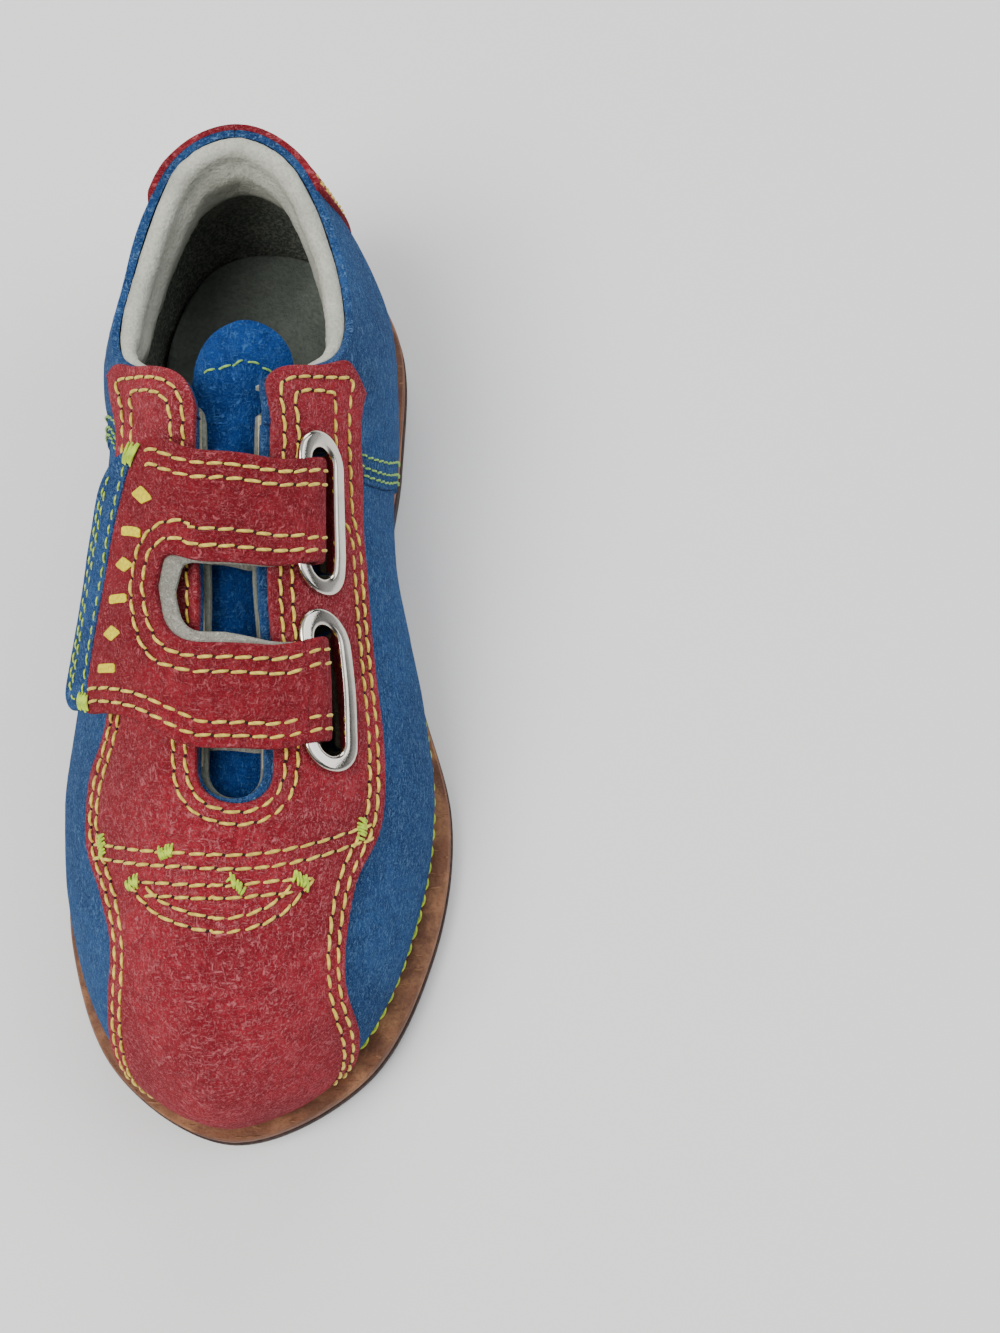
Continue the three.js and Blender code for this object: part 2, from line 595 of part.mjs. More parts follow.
addPart("tongue_lining", tongueLayer([TONGUE_LINING_LOW, TONGUE_LINING_HIGH], LINING_EDGE), GREY, 0.9);

// ---------------------------------------------------------------- grommets, washers and bands
function slotRing(grommet, profile) {
  const rings = profile.map(([outside, h]) => slotOutline(grommet, outside).map(([a, y]) => pattern(a, y, h)));
  const n = rings[0].length;
  const faces = [];
  rings.forEach((_, m) => {
    const next = (m + 1) % rings.length;
    for (let k = 0; k < n; k++) {
      const [a, b, c, d] = [m * n + k, m * n + ((k + 1) % n), next * n + ((k + 1) % n), next * n + k];
      faces.push(a, b, d, b, c, d);
    }
  });
  return solidFrom(rings.flat(), faces);
}
const FLANGE_ROUND = 0.5;
const grommetProfile = [
  [0, WASHER_LOW],
  [GROMMET_WALL, WASHER_LOW],
  [GROMMET_WALL, FLANGE_LOW],
  [GROMMET_FLANGE, FLANGE_LOW],
  [GROMMET_FLANGE, FLANGE_HIGH - FLANGE_ROUND],
  [GROMMET_FLANGE - FLANGE_ROUND, FLANGE_HIGH],
  [FLANGE_ROUND, FLANGE_HIGH],
  [0, FLANGE_HIGH - FLANGE_ROUND],
];
const washerProfile = [
  [GROMMET_WALL + GAP, WASHER_LOW],
  [GROMMET_FLANGE, WASHER_LOW],
  [GROMMET_FLANGE, WASHER_HIGH],
  [GROMMET_WALL + GAP, WASHER_HIGH],
];

// A band is sewn under the lateral facing, crosses the tongue and comes up through its slot, against the
// slot's lateral wall, to end under the flap's fold.
const STRAP_DIP = 3.5; // the strap lies this much nearer the toe where it crosses the ridge
const dip = (a) => -STRAP_DIP * (1 - smooth(across(5), across(19), Math.abs(a - THROAT_A)));
const BAND_ROOT = across(-17);
const BAND_MIDDLE = (BAND_LOW + BAND_HIGH) / 2;
const RISER_A = GROMMET_A - SLOT_WIDTH / 2 + 0.5 + BAND / 2;
const ROOT_MIDDLE = LINING_LOW - 0.5 - BAND / 2;
const RISER_TOP = FLAP_LINING_LOW - 0.2;
const BAND_PATH = [
  [BAND_ROOT, ROOT_MIDDLE],
  [BAND_ROOT + 5, ROOT_MIDDLE],
  [BAND_ROOT + 10, ROOT_MIDDLE],
  [across(-3.5), BAND_MIDDLE + 0.3],
  [across(1), BAND_MIDDLE],
  [across(5.5), BAND_MIDDLE],
  [across(10), BAND_MIDDLE],
  [(across(10) + RISER_A - 3.4) / 2, BAND_MIDDLE],
  [RISER_A - 3.4, BAND_MIDDLE],
  [RISER_A - 1.6, BAND_MIDDLE],
  [RISER_A - 0.4, BAND_MIDDLE + 0.9],
  [RISER_A, BAND_MIDDLE + 2.8],
  [RISER_A, 0],
  [RISER_A, RISER_TOP],
];
function pathSheet(path, thickness, rows, lengthAt) {
  return gridSheet(path.length - 1, rows, (i, j, face) => {
    const [beforeA, beforeH] = path[Math.max(i - 1, 0)];
    const [afterA, afterH] = path[Math.min(i + 1, path.length - 1)];
    const reach = Math.hypot(afterA - beforeA, afterH - beforeH);
    const out = (face - 0.5) * thickness;
    const a = path[i][0] - ((afterH - beforeH) / reach) * out;
    const h = path[i][1] + ((afterA - beforeA) / reach) * out;
    return pattern(a, lengthAt(a, j / rows), h);
  });
}
for (const grommet of GROMMETS) {
  addPart(`grommet_${grommet.name}`, slotRing(grommet, grommetProfile), 0xb9bcc0, 0.2, 1);
  addPart(`grommet_washer_${grommet.name}`, slotRing(grommet, washerProfile), 0xb0b2b5, 0.35, 1);
  const lengthAt = (a, s) => grommet.y + dip(a) + (s - 0.5) * BAND_WIDTH;
  addPart(`under_band_${grommet.name}`, pathSheet(BAND_PATH, BAND, 4, lengthAt), GREY, 0.9);
}

// ---------------------------------------------------------------- strap flap, its tapes and the pull tab
const FLAP_EDGE = [-25, 2, 12]; // lateral edge's girth at the front corner, and how it moves in towards the rear
const FLAP_CORNERS = [along(-25), along(22)];
const GAP_A = across(-7); // the fingers join here
const FOLD_A = RISER_A + BAND / 2;
const BODY_COLUMNS = 4;
const FINGER_COLUMNS = 8;
const FINGER_ROWS = 3;
const flapEdge = (v) => across(FLAP_EDGE[0] + FLAP_EDGE[1] * v + FLAP_EDGE[2] * v * v);
const fingerEdges = GROMMETS.flatMap(({ y }) => [y - BAND_WIDTH / 2, y + BAND_WIDTH / 2]);
function flapLength(a, v) {
  const place = v * 3;
  const k = Math.min(Math.floor(place), 2);
  const onFingers = THREE.MathUtils.lerp(fingerEdges[k], fingerEdges[k + 1], place - k) + dip(a);
  const atEdge = THREE.MathUtils.lerp(...FLAP_CORNERS, v);
  return THREE.MathUtils.lerp(onFingers, atEdge, smooth(0, flapEdge(v), a));
}
function flapLayer(heights, edge, foldA) {
  const columns = BODY_COLUMNS + FINGER_COLUMNS;
  const rows = 3 * FINGER_ROWS;
  const keep = (i, j) => i < BODY_COLUMNS || j < FINGER_ROWS || j >= 2 * FINGER_ROWS;
  const place = (i, j, face) => {
    const v = j / rows;
    const body = THREE.MathUtils.lerp(flapEdge(v) + edge, GAP_A, i / BODY_COLUMNS);
    const finger = THREE.MathUtils.lerp(GAP_A, foldA, (i - BODY_COLUMNS) / FINGER_COLUMNS);
    const a = i < BODY_COLUMNS ? body : finger;
    return pattern(a, flapLength(a, v), heights[face]);
  };
  return gridSheet(columns, rows, place, keep);
}
addPart("strap_flap", flapLayer([FLAP_LOW, FLAP_HIGH], 0, FOLD_A), RED, 0.95);
const flapLining = flapLayer([FLAP_LINING_LOW, FLAP_LINING_HIGH], 0.5, FOLD_A - BAND - 0.8);
addPart("strap_flap_lining", flapLining, GREY, 0.9);

const TAPE_MARGIN = 0.08; // share of the flap's length left bare at each end of the tapes
function tape(heights, lateralInset) {
  return gridSheet(4, 8, (i, j, face) => {
    const v = THREE.MathUtils.lerp(TAPE_MARGIN, 1 - TAPE_MARGIN, j / 8);
    const a = THREE.MathUtils.lerp(flapEdge(v) + lateralInset, GAP_A - 1.5, i / 4);
    return pattern(a, flapLength(a, v), heights[face]);
  });
}
addPart("hook_patch", tape([HOOK_LOW, HOOK_HIGH], 2), 0x1b2338, 0.9);
addPart("loop_patch", tape([LOOP_LOW, LOOP_HIGH], 1), 0x1b2338, 0.95);

const TAB_ENDS = [0.03, 0.97];
const TAB_COLUMNS = 4;
const TAB_ROWS = 10;
const FLAP_MIDDLE = (FLAP_LOW + FLAP_HIGH) / 2;
const tabRoot = (v) => pattern(flapEdge(v), flapLength(flapEdge(v), v), FLAP_MIDDLE);
addPart(
  "pull_tab",
  gridSheet(TAB_COLUMNS, TAB_ROWS, (i, j, face) => {
    const v = THREE.MathUtils.lerp(...TAB_ENDS, j / TAB_ROWS);
    const root = tabRoot(v);
    const inward = pattern(flapEdge(v) + 3, flapLength(flapEdge(v), v), FLAP_MIDDLE);
    const out = root.clone().sub(inward).normalize();
    const lengthwise = tabRoot(v + 0.01).sub(tabRoot(v - 0.01));
    const up = lengthwise.cross(out).normalize();
    const corner = Math.abs((2 * j) / TAB_ROWS - 1) ** 6;
    const reach = GAP + (TAB_WIDTH - GAP) * (1 - i / TAB_COLUMNS) * (1 - 0.45 * corner);
    return root.addScaledVector(out, reach).addScaledVector(up, (face - 0.5) * SUEDE);
  }),
  BLUE,
  0.95,
);

// ---------------------------------------------------------------- sole
// A slab between two heights; edge(side, w) gives its outline, from toeW back to heelW.
function soleSlab(edge, low, high, heelW = 0, toeW = LAST_STATION) {
  const columns = 2;
  const rows = [toeW, ...STATIONS.filter((w) => w > heelW && w < toeW).reverse(), heelW];
  return gridSheet(columns, rows.length - 1, (i, j, face) => {
    const w = rows[j];
    const point = edge(LATERAL, w).lerp(edge(MEDIAL, w), i / columns);
    point.z = face ? high(point.y) : low(point.y);
    return point;
  });
}
function insetFrom(curve, inset) {
  return (side, w) => {
    const ends = w < 0.02 || w > LAST_STATION - 0.02;
    const step = 0.02;
    const tangent = ends
      ? new THREE.Vector3(w < 1 ? OUTWARD[side] : -OUTWARD[side], 0, 0)
      : curve(side, w + step).sub(curve(side, w - step));
    tangent.setZ(0).normalize();
    const point = curve(side, w);
    point.x += tangent.y * inset * OUTWARD[side];
    point.y -= tangent.x * inset * OUTWARD[side];
    return point;
  };
}
const featherEdge = (side, w) => rowAt(side, 0, w);
const HEEL_BREAST = 3.5; // station of the heel block's front face
const HEEL_INSET = 0.6;
const outsoleTop = (y) => soleBottom(y) + OUTSOLE;
addPart("outsole", soleSlab(soleEdge, soleBottom, outsoleTop), 0x2b2622, 0.8);
addPart("midsole", soleSlab(insetFrom(soleEdge, 0.4), (y) => outsoleTop(y) + GAP, weltTop), 0x6b4a34, 0.7);
const heelTop = (y) => soleBottom(y) - GAP;
const heelEdge = insetFrom(soleEdge, HEEL_INSET);
addPart("heel_block", soleSlab(heelEdge, () => 0, heelTop, 0, HEEL_BREAST), 0x1f1d1c, 0.85);

const FILLER = 1.2;
const onMidsole = (y) => weltTop(y) + GAP;
const fillerTop = (y) => onMidsole(y) + FILLER;
const hollowEdge = insetFrom(featherEdge, MARGIN + 1.5);
addPart("forepart_filler", soleSlab(hollowEdge, onMidsole, fillerTop, 5.2, 8.3), 0xb08a5a, 0.95);
const SHANK_WIDTH = 13;
const shankEdge = (side, w) => {
  const middle = hollowEdge(MEDIAL, w).lerp(hollowEdge(LATERAL, w), 0.5);
  middle.x += (OUTWARD[side] * SHANK_WIDTH) / 2;
  return middle;
};
addPart("shank", soleSlab(shankEdge, onMidsole, fillerTop, 1.8, 4.9), 0x7d8084, 0.4, 1);

const INSOLE_INSET = 5.5;
const insoleEdge = insetFrom(featherEdge, INSOLE_INSET);
const boardLow = (y) => weltTop(y) + CEMENT + LEATHER + CEMENT;
const boardHigh = (y) => boardLow(y) + INSOLE_BOARD;
addPart("insole_board", soleSlab(insoleEdge, boardLow, boardHigh), 0xa88c68, 0.9);
const linerLow = (y) => boardHigh(y) + GAP;
addPart("sock_liner", soleSlab(insoleEdge, linerLow, (y) => linerLow(y) + SOCK_LINER), 0x7f8377, 0.95);

// The origin is under the middle of the shoe's box.
const box = new THREE.Box3().setFromObject(group);
const middle = box.getCenter(new THREE.Vector3());
group.position.set(-middle.x, -middle.y, -box.min.z);

export default group;
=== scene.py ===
"""Child's bowling shoe, right foot: the visible model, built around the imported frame.

Shapes are worked out in millimetres on the shoemaker's last; a mesh is made in metres, in the frame.
The toe points along -Y and the inner (medial) side of the foot is +X.
"""
import math

import bmesh
import bpy
import numpy as np
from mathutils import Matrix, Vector, geometry


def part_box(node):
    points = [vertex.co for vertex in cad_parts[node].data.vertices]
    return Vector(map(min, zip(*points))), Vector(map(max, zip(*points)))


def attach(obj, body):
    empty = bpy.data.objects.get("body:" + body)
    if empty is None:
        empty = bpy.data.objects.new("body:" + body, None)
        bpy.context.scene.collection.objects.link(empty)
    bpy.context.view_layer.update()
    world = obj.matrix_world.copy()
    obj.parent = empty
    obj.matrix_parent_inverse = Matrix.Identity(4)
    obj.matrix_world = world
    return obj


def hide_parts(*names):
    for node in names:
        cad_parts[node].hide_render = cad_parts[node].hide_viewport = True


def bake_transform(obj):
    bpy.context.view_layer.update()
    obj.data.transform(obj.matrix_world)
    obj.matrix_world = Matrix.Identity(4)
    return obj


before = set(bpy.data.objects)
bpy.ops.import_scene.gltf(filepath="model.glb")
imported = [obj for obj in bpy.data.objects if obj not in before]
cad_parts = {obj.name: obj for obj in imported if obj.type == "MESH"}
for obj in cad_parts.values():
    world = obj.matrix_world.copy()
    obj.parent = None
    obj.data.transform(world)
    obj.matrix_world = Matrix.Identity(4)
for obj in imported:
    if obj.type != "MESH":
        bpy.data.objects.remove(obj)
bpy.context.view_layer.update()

# ---------------------------------------------------------------- the last (as in the CAD source)
MEDIAL, LATERAL = 0, 1
OUT = (1, -1)
END, OPEN = 9, 5  # toe station, and the station where the collar's opening starts
SOLE = np.array([
    [(0, 102.5), (19, 96), (30.5, 76), (31, 48), (28.5, 18), (36.5, -10), (43, -36), (39.5, -64), (26.5, -90),
     (0.5, -102.5)],
    [(0, 102.5), (-18, 96), (-27.5, 76), (-28.5, 48), (-30.5, 18), (-34.5, -10), (-37.5, -38), (-35.5, -64),
     (-24, -89), (0.5, -102.5)],
], float)
FEATHER = ((3, 3, 3.5, 1.5, -1.5, 0.5, 4, 5, 5, 5), (3, 3, 2.5, 1, -0.5, -0.5, 0, 2.5, 4, 5))
BULGE = ((2.5, 18), (2.5, 18), (2.5, 18), (3, 18), (4, 17), (4, 15), (3, 14), (3, 14), (3.5, 16), (4, 17))
TOP = (
    ((-1.5, 95, 66), (12, 88, 64), (21, 67, 58), (21.5, 45, 62), (4, 31, 73), (-0.5, 5, 66), (0, -22, 56),
     (0, -46, 49.5), (0, -66, 45.5), (0, -80, 41)),
    ((-1.5, 95, 66), (-15, 88, 63.5), (-23.5, 67, 56.5), (-23, 45, 61), (-5, 31, 73), (-0.5, 5, 66),
     (0, -22, 56), (0, -46, 49.5), (0, -66, 45.5), (0, -80, 41)),
)
SHOULDER = (
    ((0, 5, -16), (3, 4, -16), (6, 1, -16), (7, -1, -12), (15, 0, -2), (16, 0, -0.5), (19, 0, -1),
     (20, -2, -0.5), (14, -12, -2), (0, -16, -4)),
    ((0, 5, -16), (-3, 4, -16), (-6, 1, -16), (-7, -1, -12), (-15, 0, -2), (-17, 0, -0.5), (-19, 0, -1),
     (-18, -2, -0.5), (-14, -12, -2), (0, -16, -4)),
)
OUTSOLE, MIDSOLE, HEEL_LIFT, TOE_SPRING, CEMENT, GAP = 3.0, 3.7, 7.0, 5.0, 0.6, 0.3
LEATHER, PAD = 1.4, 4.5


def smooth(a, b, x):
    s = np.clip((np.asarray(x, float) - a) / (b - a), 0, 1)
    return s * s * (3 - 2 * s)


def unit(vectors):
    return vectors / np.maximum(np.linalg.norm(vectors, axis=-1, keepdims=True), 1e-9)


def spline(a, b, c, d, s):
    """A Catmull-Rom curve's point between b and c."""
    return 0.5 * (2 * b + (c - a) * s + (2 * a - 5 * b + 4 * c - d) * s**2 + (3 * b - a - 3 * c + d) * s**3)


def lengths_along(points):
    return np.concatenate([[0], np.cumsum(np.linalg.norm(np.diff(points, axis=0), axis=1))])


def between(places, lengths, table):
    """A table's rows, read at places along it."""
    return np.stack([np.interp(places, lengths, table[:, k]) for k in range(table.shape[1])], axis=-1)


def sole_bottom(y):
    toe = np.clip((-55 - np.asarray(y, float)) / 47.5, 0, 1)
    return TOE_SPRING * toe**2 + HEEL_LIFT * smooth(-15, 32, y)


def welt_top(y):
    return sole_bottom(y) + OUTSOLE + GAP + MIDSOLE


def make_net():
    net = np.zeros((2, 4, END + 1, 3))
    for side in (MEDIAL, LATERAL):
        edge, other = SOLE[side], SOLE[1 - side]
        for i in range(END + 1):
            before = edge[i - 1] if i else other[1]
            after = edge[i + 1] if i < END else other[END - 1]
            along = unit(after - before)
            out = np.array((-along[1], along[0], 0)) * OUT[side]
            feather = np.array((*edge[i], welt_top(edge[i][1]) + CEMENT)) - out * FEATHER[side][i]
            top = np.array(TOP[side][i], float)
            net[side, 0, i] = feather
            net[side, 1, i] = feather + out * BULGE[i][0] + (0, 0, BULGE[i][1])
            net[side, 2, i] = top + SHOULDER[side][i]
            net[side, 3, i] = top
    return net


NET = make_net()


def through(rows, ghosts, w):
    """Catmull-Rom through rows of points, with the other side's neighbours as the ends' ghosts."""
    rows = np.concatenate([ghosts[:1], rows, ghosts[1:]])
    i = np.clip(np.floor(w).astype(int), 0, END - 1)
    s = (w - i)[:, None]
    return spline(rows[i], rows[i + 1], rows[i + 2], rows[i + 3], s)


def last_rows(side, w):
    return [through(NET[side, k], NET[1 - side, k][[1, END - 1]], w) for k in range(4)]


def sole_edge(side, w):
    return through(SOLE[side], SOLE[1 - side][[1, END - 1]], w)


def surface(side, w, t):
    """Outer face of the leather. Past the toe, heel or closed ridge it carries on down the other side."""
    side, w, t = (np.array(v) for v in np.broadcast_arrays(side, np.asarray(w, float), np.asarray(t, float)))
    beyond = (w < 0) | (w > END)
    side = np.where(beyond, 1 - side, side)
    w = np.where(w < 0, -w, np.where(w > END, 2 * END - w, w))
    over = (t > 1) & (w >= OPEN)
    side = np.where(over, 1 - side, side)
    t = np.where(over, 2 - t, t)
    result = np.zeros(w.shape + (3,))
    for s in (MEDIAL, LATERAL):
        chosen = side == s
        if not chosen.any():
            continue
        a, b, c, d = last_rows(s, w[chosen])
        u = np.clip(t[chosen], 0, 1)[:, None]
        point = a * (1 - u) ** 3 + 3 * b * u * (1 - u) ** 2 + 3 * c * u**2 * (1 - u) + d * u**3
        extra = t[chosen][:, None] - u
        point += np.where(extra > 0, 3 * (d - c), 3 * (b - a)) * extra
        result[chosen] = point
    return result


def normal(side, w, t, step=0.02):
    across = surface(side, w + step, t) - surface(side, w - step, t)
    up = surface(side, w, t + step / 2) - surface(side, w, t - step / 2)
    return unit(np.cross(across, up)) * np.where(np.asarray(side) == MEDIAL, -1, 1)[..., None]


# ---------------------------------------------------------------- charts: flat drawings laid on the last
GIRTH, STATION = 70.0, 24.0  # millimetres of drawing for the whole wall, and for one station


def front_chart(uv):
    """u is the girth from the ridge, medial positive; v is the station, heel to toe."""
    side = np.where(uv[:, 0] >= 0, MEDIAL, LATERAL)
    w, t = uv[:, 1] / STATION, 1 - np.abs(uv[:, 0]) / GIRTH
    return surface(side, w, t), normal(side, w, t)


def rear_chart(uv):
    """u is the station round the heel, medial positive; v is the height up the wall."""
    side = np.where(uv[:, 0] >= 0, MEDIAL, LATERAL)
    w, t = np.abs(uv[:, 0]) / STATION, uv[:, 1] / GIRTH
    return surface(side, w, t), normal(side, w, t)


BACK, FRONT, REACH = 29.0, -72.0, 50.0  # the stretch of the instep that is unrolled
RISE = 0.22  # slope of the chart where it runs straight on past the back


def girth_table():
    """The instep unrolled: rows at steps of y, columns at steps of girth from the ridge."""
    ys = np.linspace(FRONT, BACK, 121)
    ts = np.linspace(0, 1, 61)
    girth = np.linspace(-REACH, REACH, 201)
    y_grid, t_grid = (v.ravel() for v in np.meshgrid(ys, ts, indexing="ij"))
    walls = []
    for side in (MEDIAL, LATERAL):
        low, high = np.zeros(len(y_grid)), np.full(len(y_grid), float(END))
        for _ in range(24):
            middle = (low + high) / 2
            nearer_heel = surface(side, middle, t_grid)[:, 1] > y_grid
            low, high = np.where(nearer_heel, middle, low), np.where(nearer_heel, high, middle)
        walls.append(surface(side, low, t_grid).reshape(len(ys), len(ts), 3))
    rows = []
    for medial, lateral in zip(*walls):
        section = np.concatenate([lateral, medial[::-1]])
        lengths = lengths_along(section)
        lengths -= (lengths[len(ts) - 1] + lengths[len(ts)]) / 2
        rows.append(between(girth, lengths, section))
    points = np.array(rows)
    facing = np.cross(np.gradient(points, axis=1), np.gradient(points, axis=0))
    for _ in range(3):
        facing[1:-1] = (facing[:-2] + 2 * facing[1:-1] + facing[2:]) / 4
        facing[:, 1:-1] = (facing[:, :-2] + 2 * facing[:, 1:-1] + facing[:, 2:]) / 4
    return points, unit(facing)


INSTEP, INSTEP_FACING = girth_table()


def instep_chart(uv):
    """u is the girth from the ridge and v is the length y; the tongue runs straight on past the facings."""
    inside = np.clip(uv[:, 1], FRONT, BACK)
    rows, columns = INSTEP.shape[:2]
    u = np.clip((uv[:, 0] / REACH + 1) / 2 * (columns - 1), 0, columns - 1.001)
    v = np.clip((inside - FRONT) / (BACK - FRONT) * (rows - 1), 0, rows - 1.001)
    i, j = u.astype(int), v.astype(int)
    p, q = (u - i)[:, None], (v - j)[:, None]

    def blend(table):
        near = table[j, i] * (1 - p) + table[j, i + 1] * p
        far = table[j + 1, i] * (1 - p) + table[j + 1, i + 1] * p
        return near * (1 - q) + far * q

    point, facing = blend(INSTEP), blend(INSTEP_FACING)
    point[:, 1] += uv[:, 1] - inside
    point[:, 2] += (uv[:, 1] - inside) * RISE
    return point, unit(facing)


def on(chart, uv, h):
    point, facing = chart(np.atleast_2d(np.asarray(uv, float)))
    return point + facing * np.reshape(h, (-1, 1))


# ---------------------------------------------------------------- lines in the drawing
def line(points, spacing=1.2, closed=False, curved=True):
    """Points along a line or a Catmull-Rom curve through a few chosen points, evenly spaced."""
    points = np.array(points, float)
    if curved:
        ring = np.vstack([points[-1:], points, points[:2]]) if closed else np.vstack([
            2 * points[0] - points[1], points, 2 * points[-1] - points[-2]])
        s = np.linspace(0, 1, 24, endpoint=False)[:, None]
        parts = []
        for k in range(len(ring) - 3):
            parts.append(spline(*ring[k:k + 4], s))
        points = np.vstack(parts + [points[:1] if closed else points[-1:]])
    elif closed:
        points = np.vstack([points, points[:1]])
    lengths = lengths_along(points)
    count = max(int(round(lengths[-1] / spacing)), 1)
    result = between(np.linspace(0, lengths[-1], count + 1), lengths, points)
    return result[:-1] if closed else result


def straight(points, spacing=1.2, closed=False):
    return line(points, spacing, closed, curved=False)


def rounded(points, radii):
    """A closed outline with its corners rounded; radii is one number or one for each corner."""
    points = np.array(points, float)
    radii = np.broadcast_to(radii, len(points))
    result = []
    for k, point in enumerate(points):
        before, after = points[k - 1] - point, points[(k + 1) % len(points)] - point
        room = 0.45 * min(np.linalg.norm(before), np.linalg.norm(after))
        cut = min(radii[k], room)
        if cut < 0.05:
            result.append(point)
            continue
        start, end = point + unit(before) * cut, point + unit(after) * cut
        for s in np.linspace(0, 1, 7):
            result.append(start * (1 - s) ** 2 + 2 * point * s * (1 - s) + end * s**2)
    return np.array(result)


def joined(*parts):
    """Lines end to end, without repeated points."""
    points = np.vstack(parts)
    keep = np.concatenate([[True], np.linalg.norm(np.diff(points, axis=0), axis=1) > 0.05])
    return points[keep]


def chart_move(chart, place, gap, step, least, axes=3):
    """The move in the drawing that makes a small move, gap, in space."""
    slopes = [(chart(place + d)[0] - chart(place - d)[0])[:, :axes] / (2 * step) for d in np.eye(2) * step]
    du, dv = slopes
    uu, uv, vv = (du * du).sum(1), (du * dv).sum(1), (dv * dv).sum(1)
    gu, gv = (gap * du).sum(1), (gap * dv).sum(1)
    det = np.maximum(uu * vv - uv**2, least)
    return np.stack([(gu * vv - gv * uv) / det, (gv * uu - gu * uv) / det], axis=1)


def moved_in(chart, path, distance, closed=False):
    """The path moved sideways on the surface; positive is to the left of its direction, seen from outside."""
    base, facing = chart(path)
    along = np.roll(base, -1, 0) - np.roll(base, 1, 0) if closed else np.gradient(base, axis=0)
    return path + chart_move(chart, path, unit(np.cross(facing, along)) * distance, 0.3, 1e-6)


def laid(chart, targets, low, high, axes=3):
    """Where points lie in a chart; with axes=2 they are points seen from straight above."""
    grid = np.stack(np.meshgrid(*np.linspace(low, high, 121).T, indexing="ij"), -1).reshape(-1, 2)
    seen = chart(grid)[0][:, :axes]
    targets = np.asarray(targets, float)[:, :axes]
    place = np.array([grid[np.argmin(((seen - p) ** 2).sum(1))] for p in targets])
    for _ in range(6):
        gap = targets - chart(place)[0][:, :axes]
        place = np.clip(place + np.clip(chart_move(chart, place, gap, 0.2, 1e-4, axes), -2, 2), low, high)
    return place


def distance_to(points, lines):
    """Least distance from each point to any of the lines, in whatever space they share."""
    least = np.full(len(points), 1e6)
    for path in lines:
        a, b = path[:-1], path[1:]
        ab = b - a
        size = np.maximum((ab**2).sum(1), 1e-12)
        for start in range(0, len(points), 2000):
            p = points[start:start + 2000, None, :]
            s = np.clip(((p - a) * ab).sum(2) / size, 0, 1)[..., None]
            gap = np.linalg.norm(p - (a + ab * s), axis=2).min(1)
            least[start:start + 2000] = np.minimum(least[start:start + 2000], gap)
    return least


def undulation(points, size, seed, waves=7):
    """Gentle unevenness, about -1 to 1, of one size in millimetres."""
    rng = np.random.default_rng(seed)
    total = np.zeros(len(points))
    for _ in range(waves):
        direction = rng.normal(size=3)
        direction *= 2 * math.pi / (size * rng.uniform(0.6, 1.6)) / np.linalg.norm(direction)
        total += np.sin(points @ direction + rng.uniform(0, 2 * math.pi))
    return total / waves * 1.6


# ---------------------------------------------------------------- meshes
SHIFT = np.array((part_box("outsole")[0].x * 1000 - SOLE[LATERAL][:, 0].min(), 0, 0))


def metres(points):
    return (np.asarray(points) + SHIFT) / 1000


def add_mesh(name, points, faces, material, body="shoe", slot=None, replaces=(), sharp=45, weld=0.0):
    mesh = bpy.data.meshes.new(name)
    mesh.from_pydata(metres(points).tolist(), [], [list(map(int, face)) for face in faces])
    obj = bpy.data.objects.new(name, mesh)
    bpy.context.scene.collection.objects.link(obj)
    if weld:
        working = bmesh.new()
        working.from_mesh(mesh)
        bmesh.ops.remove_doubles(working, verts=working.verts, dist=weld / 1000)
        working.to_mesh(mesh)
        working.free()
    mesh.validate()
    mesh.shade_smooth()
    mesh.set_sharp_from_angle(angle=math.radians(sharp))
    mesh.materials.append(material)
    if body:
        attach(obj, body)
    if replaces:
        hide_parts(*replaces)
    return obj


def inside_outline(points, outline):
    x, y = points[:, 0][:, None], points[:, 1][:, None]
    a, b = outline, np.roll(outline, -1, 0)
    crosses = (a[:, 1] > y) != (b[:, 1] > y)
    slope = np.where(b[:, 1] == a[:, 1], 1e-9, b[:, 1] - a[:, 1])
    return ((crosses & (x < (b[:, 0] - a[:, 0]) * (y - a[:, 1]) / slope + a[:, 0])).sum(1) % 2).astype(bool)


def free_edges(loop, seam, square):
    """The parts of a patch's outline whose rim is rounded."""
    if square is not None:
        pairs = [loop[k:k + 2] for k in range(len(loop) - 1)]
        return [pair for pair in pairs if not (pair[:, 0] > square).all()]
    if seam is None:
        return [loop]
    on_seam = np.abs(loop[:, 1] - seam) < 0.01
    parts = np.split(loop, np.flatnonzero(on_seam[:-1] != on_seam[1:]) + 1)
    return [part for part in parts if np.abs(part[:, 1] - seam).max() > 0.01]


def filling(outline, holes, loops, spacing, rim):
    """Points inside an outline: two rings that follow the rim, then a staggered grid."""
    low, high = outline.min(0), outline.max(0)
    columns = np.arange(low[0], high[0], spacing)
    rows = np.arange(low[1], high[1], spacing * 0.87)
    grid = np.array([(x + (k % 2) * spacing / 2, y) for k, y in enumerate(rows) for x in columns])
    grid = grid[inside_outline(grid, outline)]
    grid = grid[distance_to(grid, loops) > rim * 2.2 + 0.3]
    for hole in holes:
        grid = grid[~inside_outline(grid, hole)]
    after = np.roll(outline, -1, 0)
    along = after - np.roll(outline, 1, 0)
    inward = unit(np.stack([-along[:, 1], along[:, 0]], axis=1))
    inward *= np.sign((outline[:, 0] * after[:, 1] - outline[:, 1] * after[:, 0]).sum())
    rings = []
    for inset in (rim * 0.45, rim * 1.5):
        ring = outline + inward * inset
        ring = ring[inside_outline(ring, outline)]
        rings.append(ring[distance_to(ring, loops[:1]) > inset * 0.8])
    return [*rings, grid]


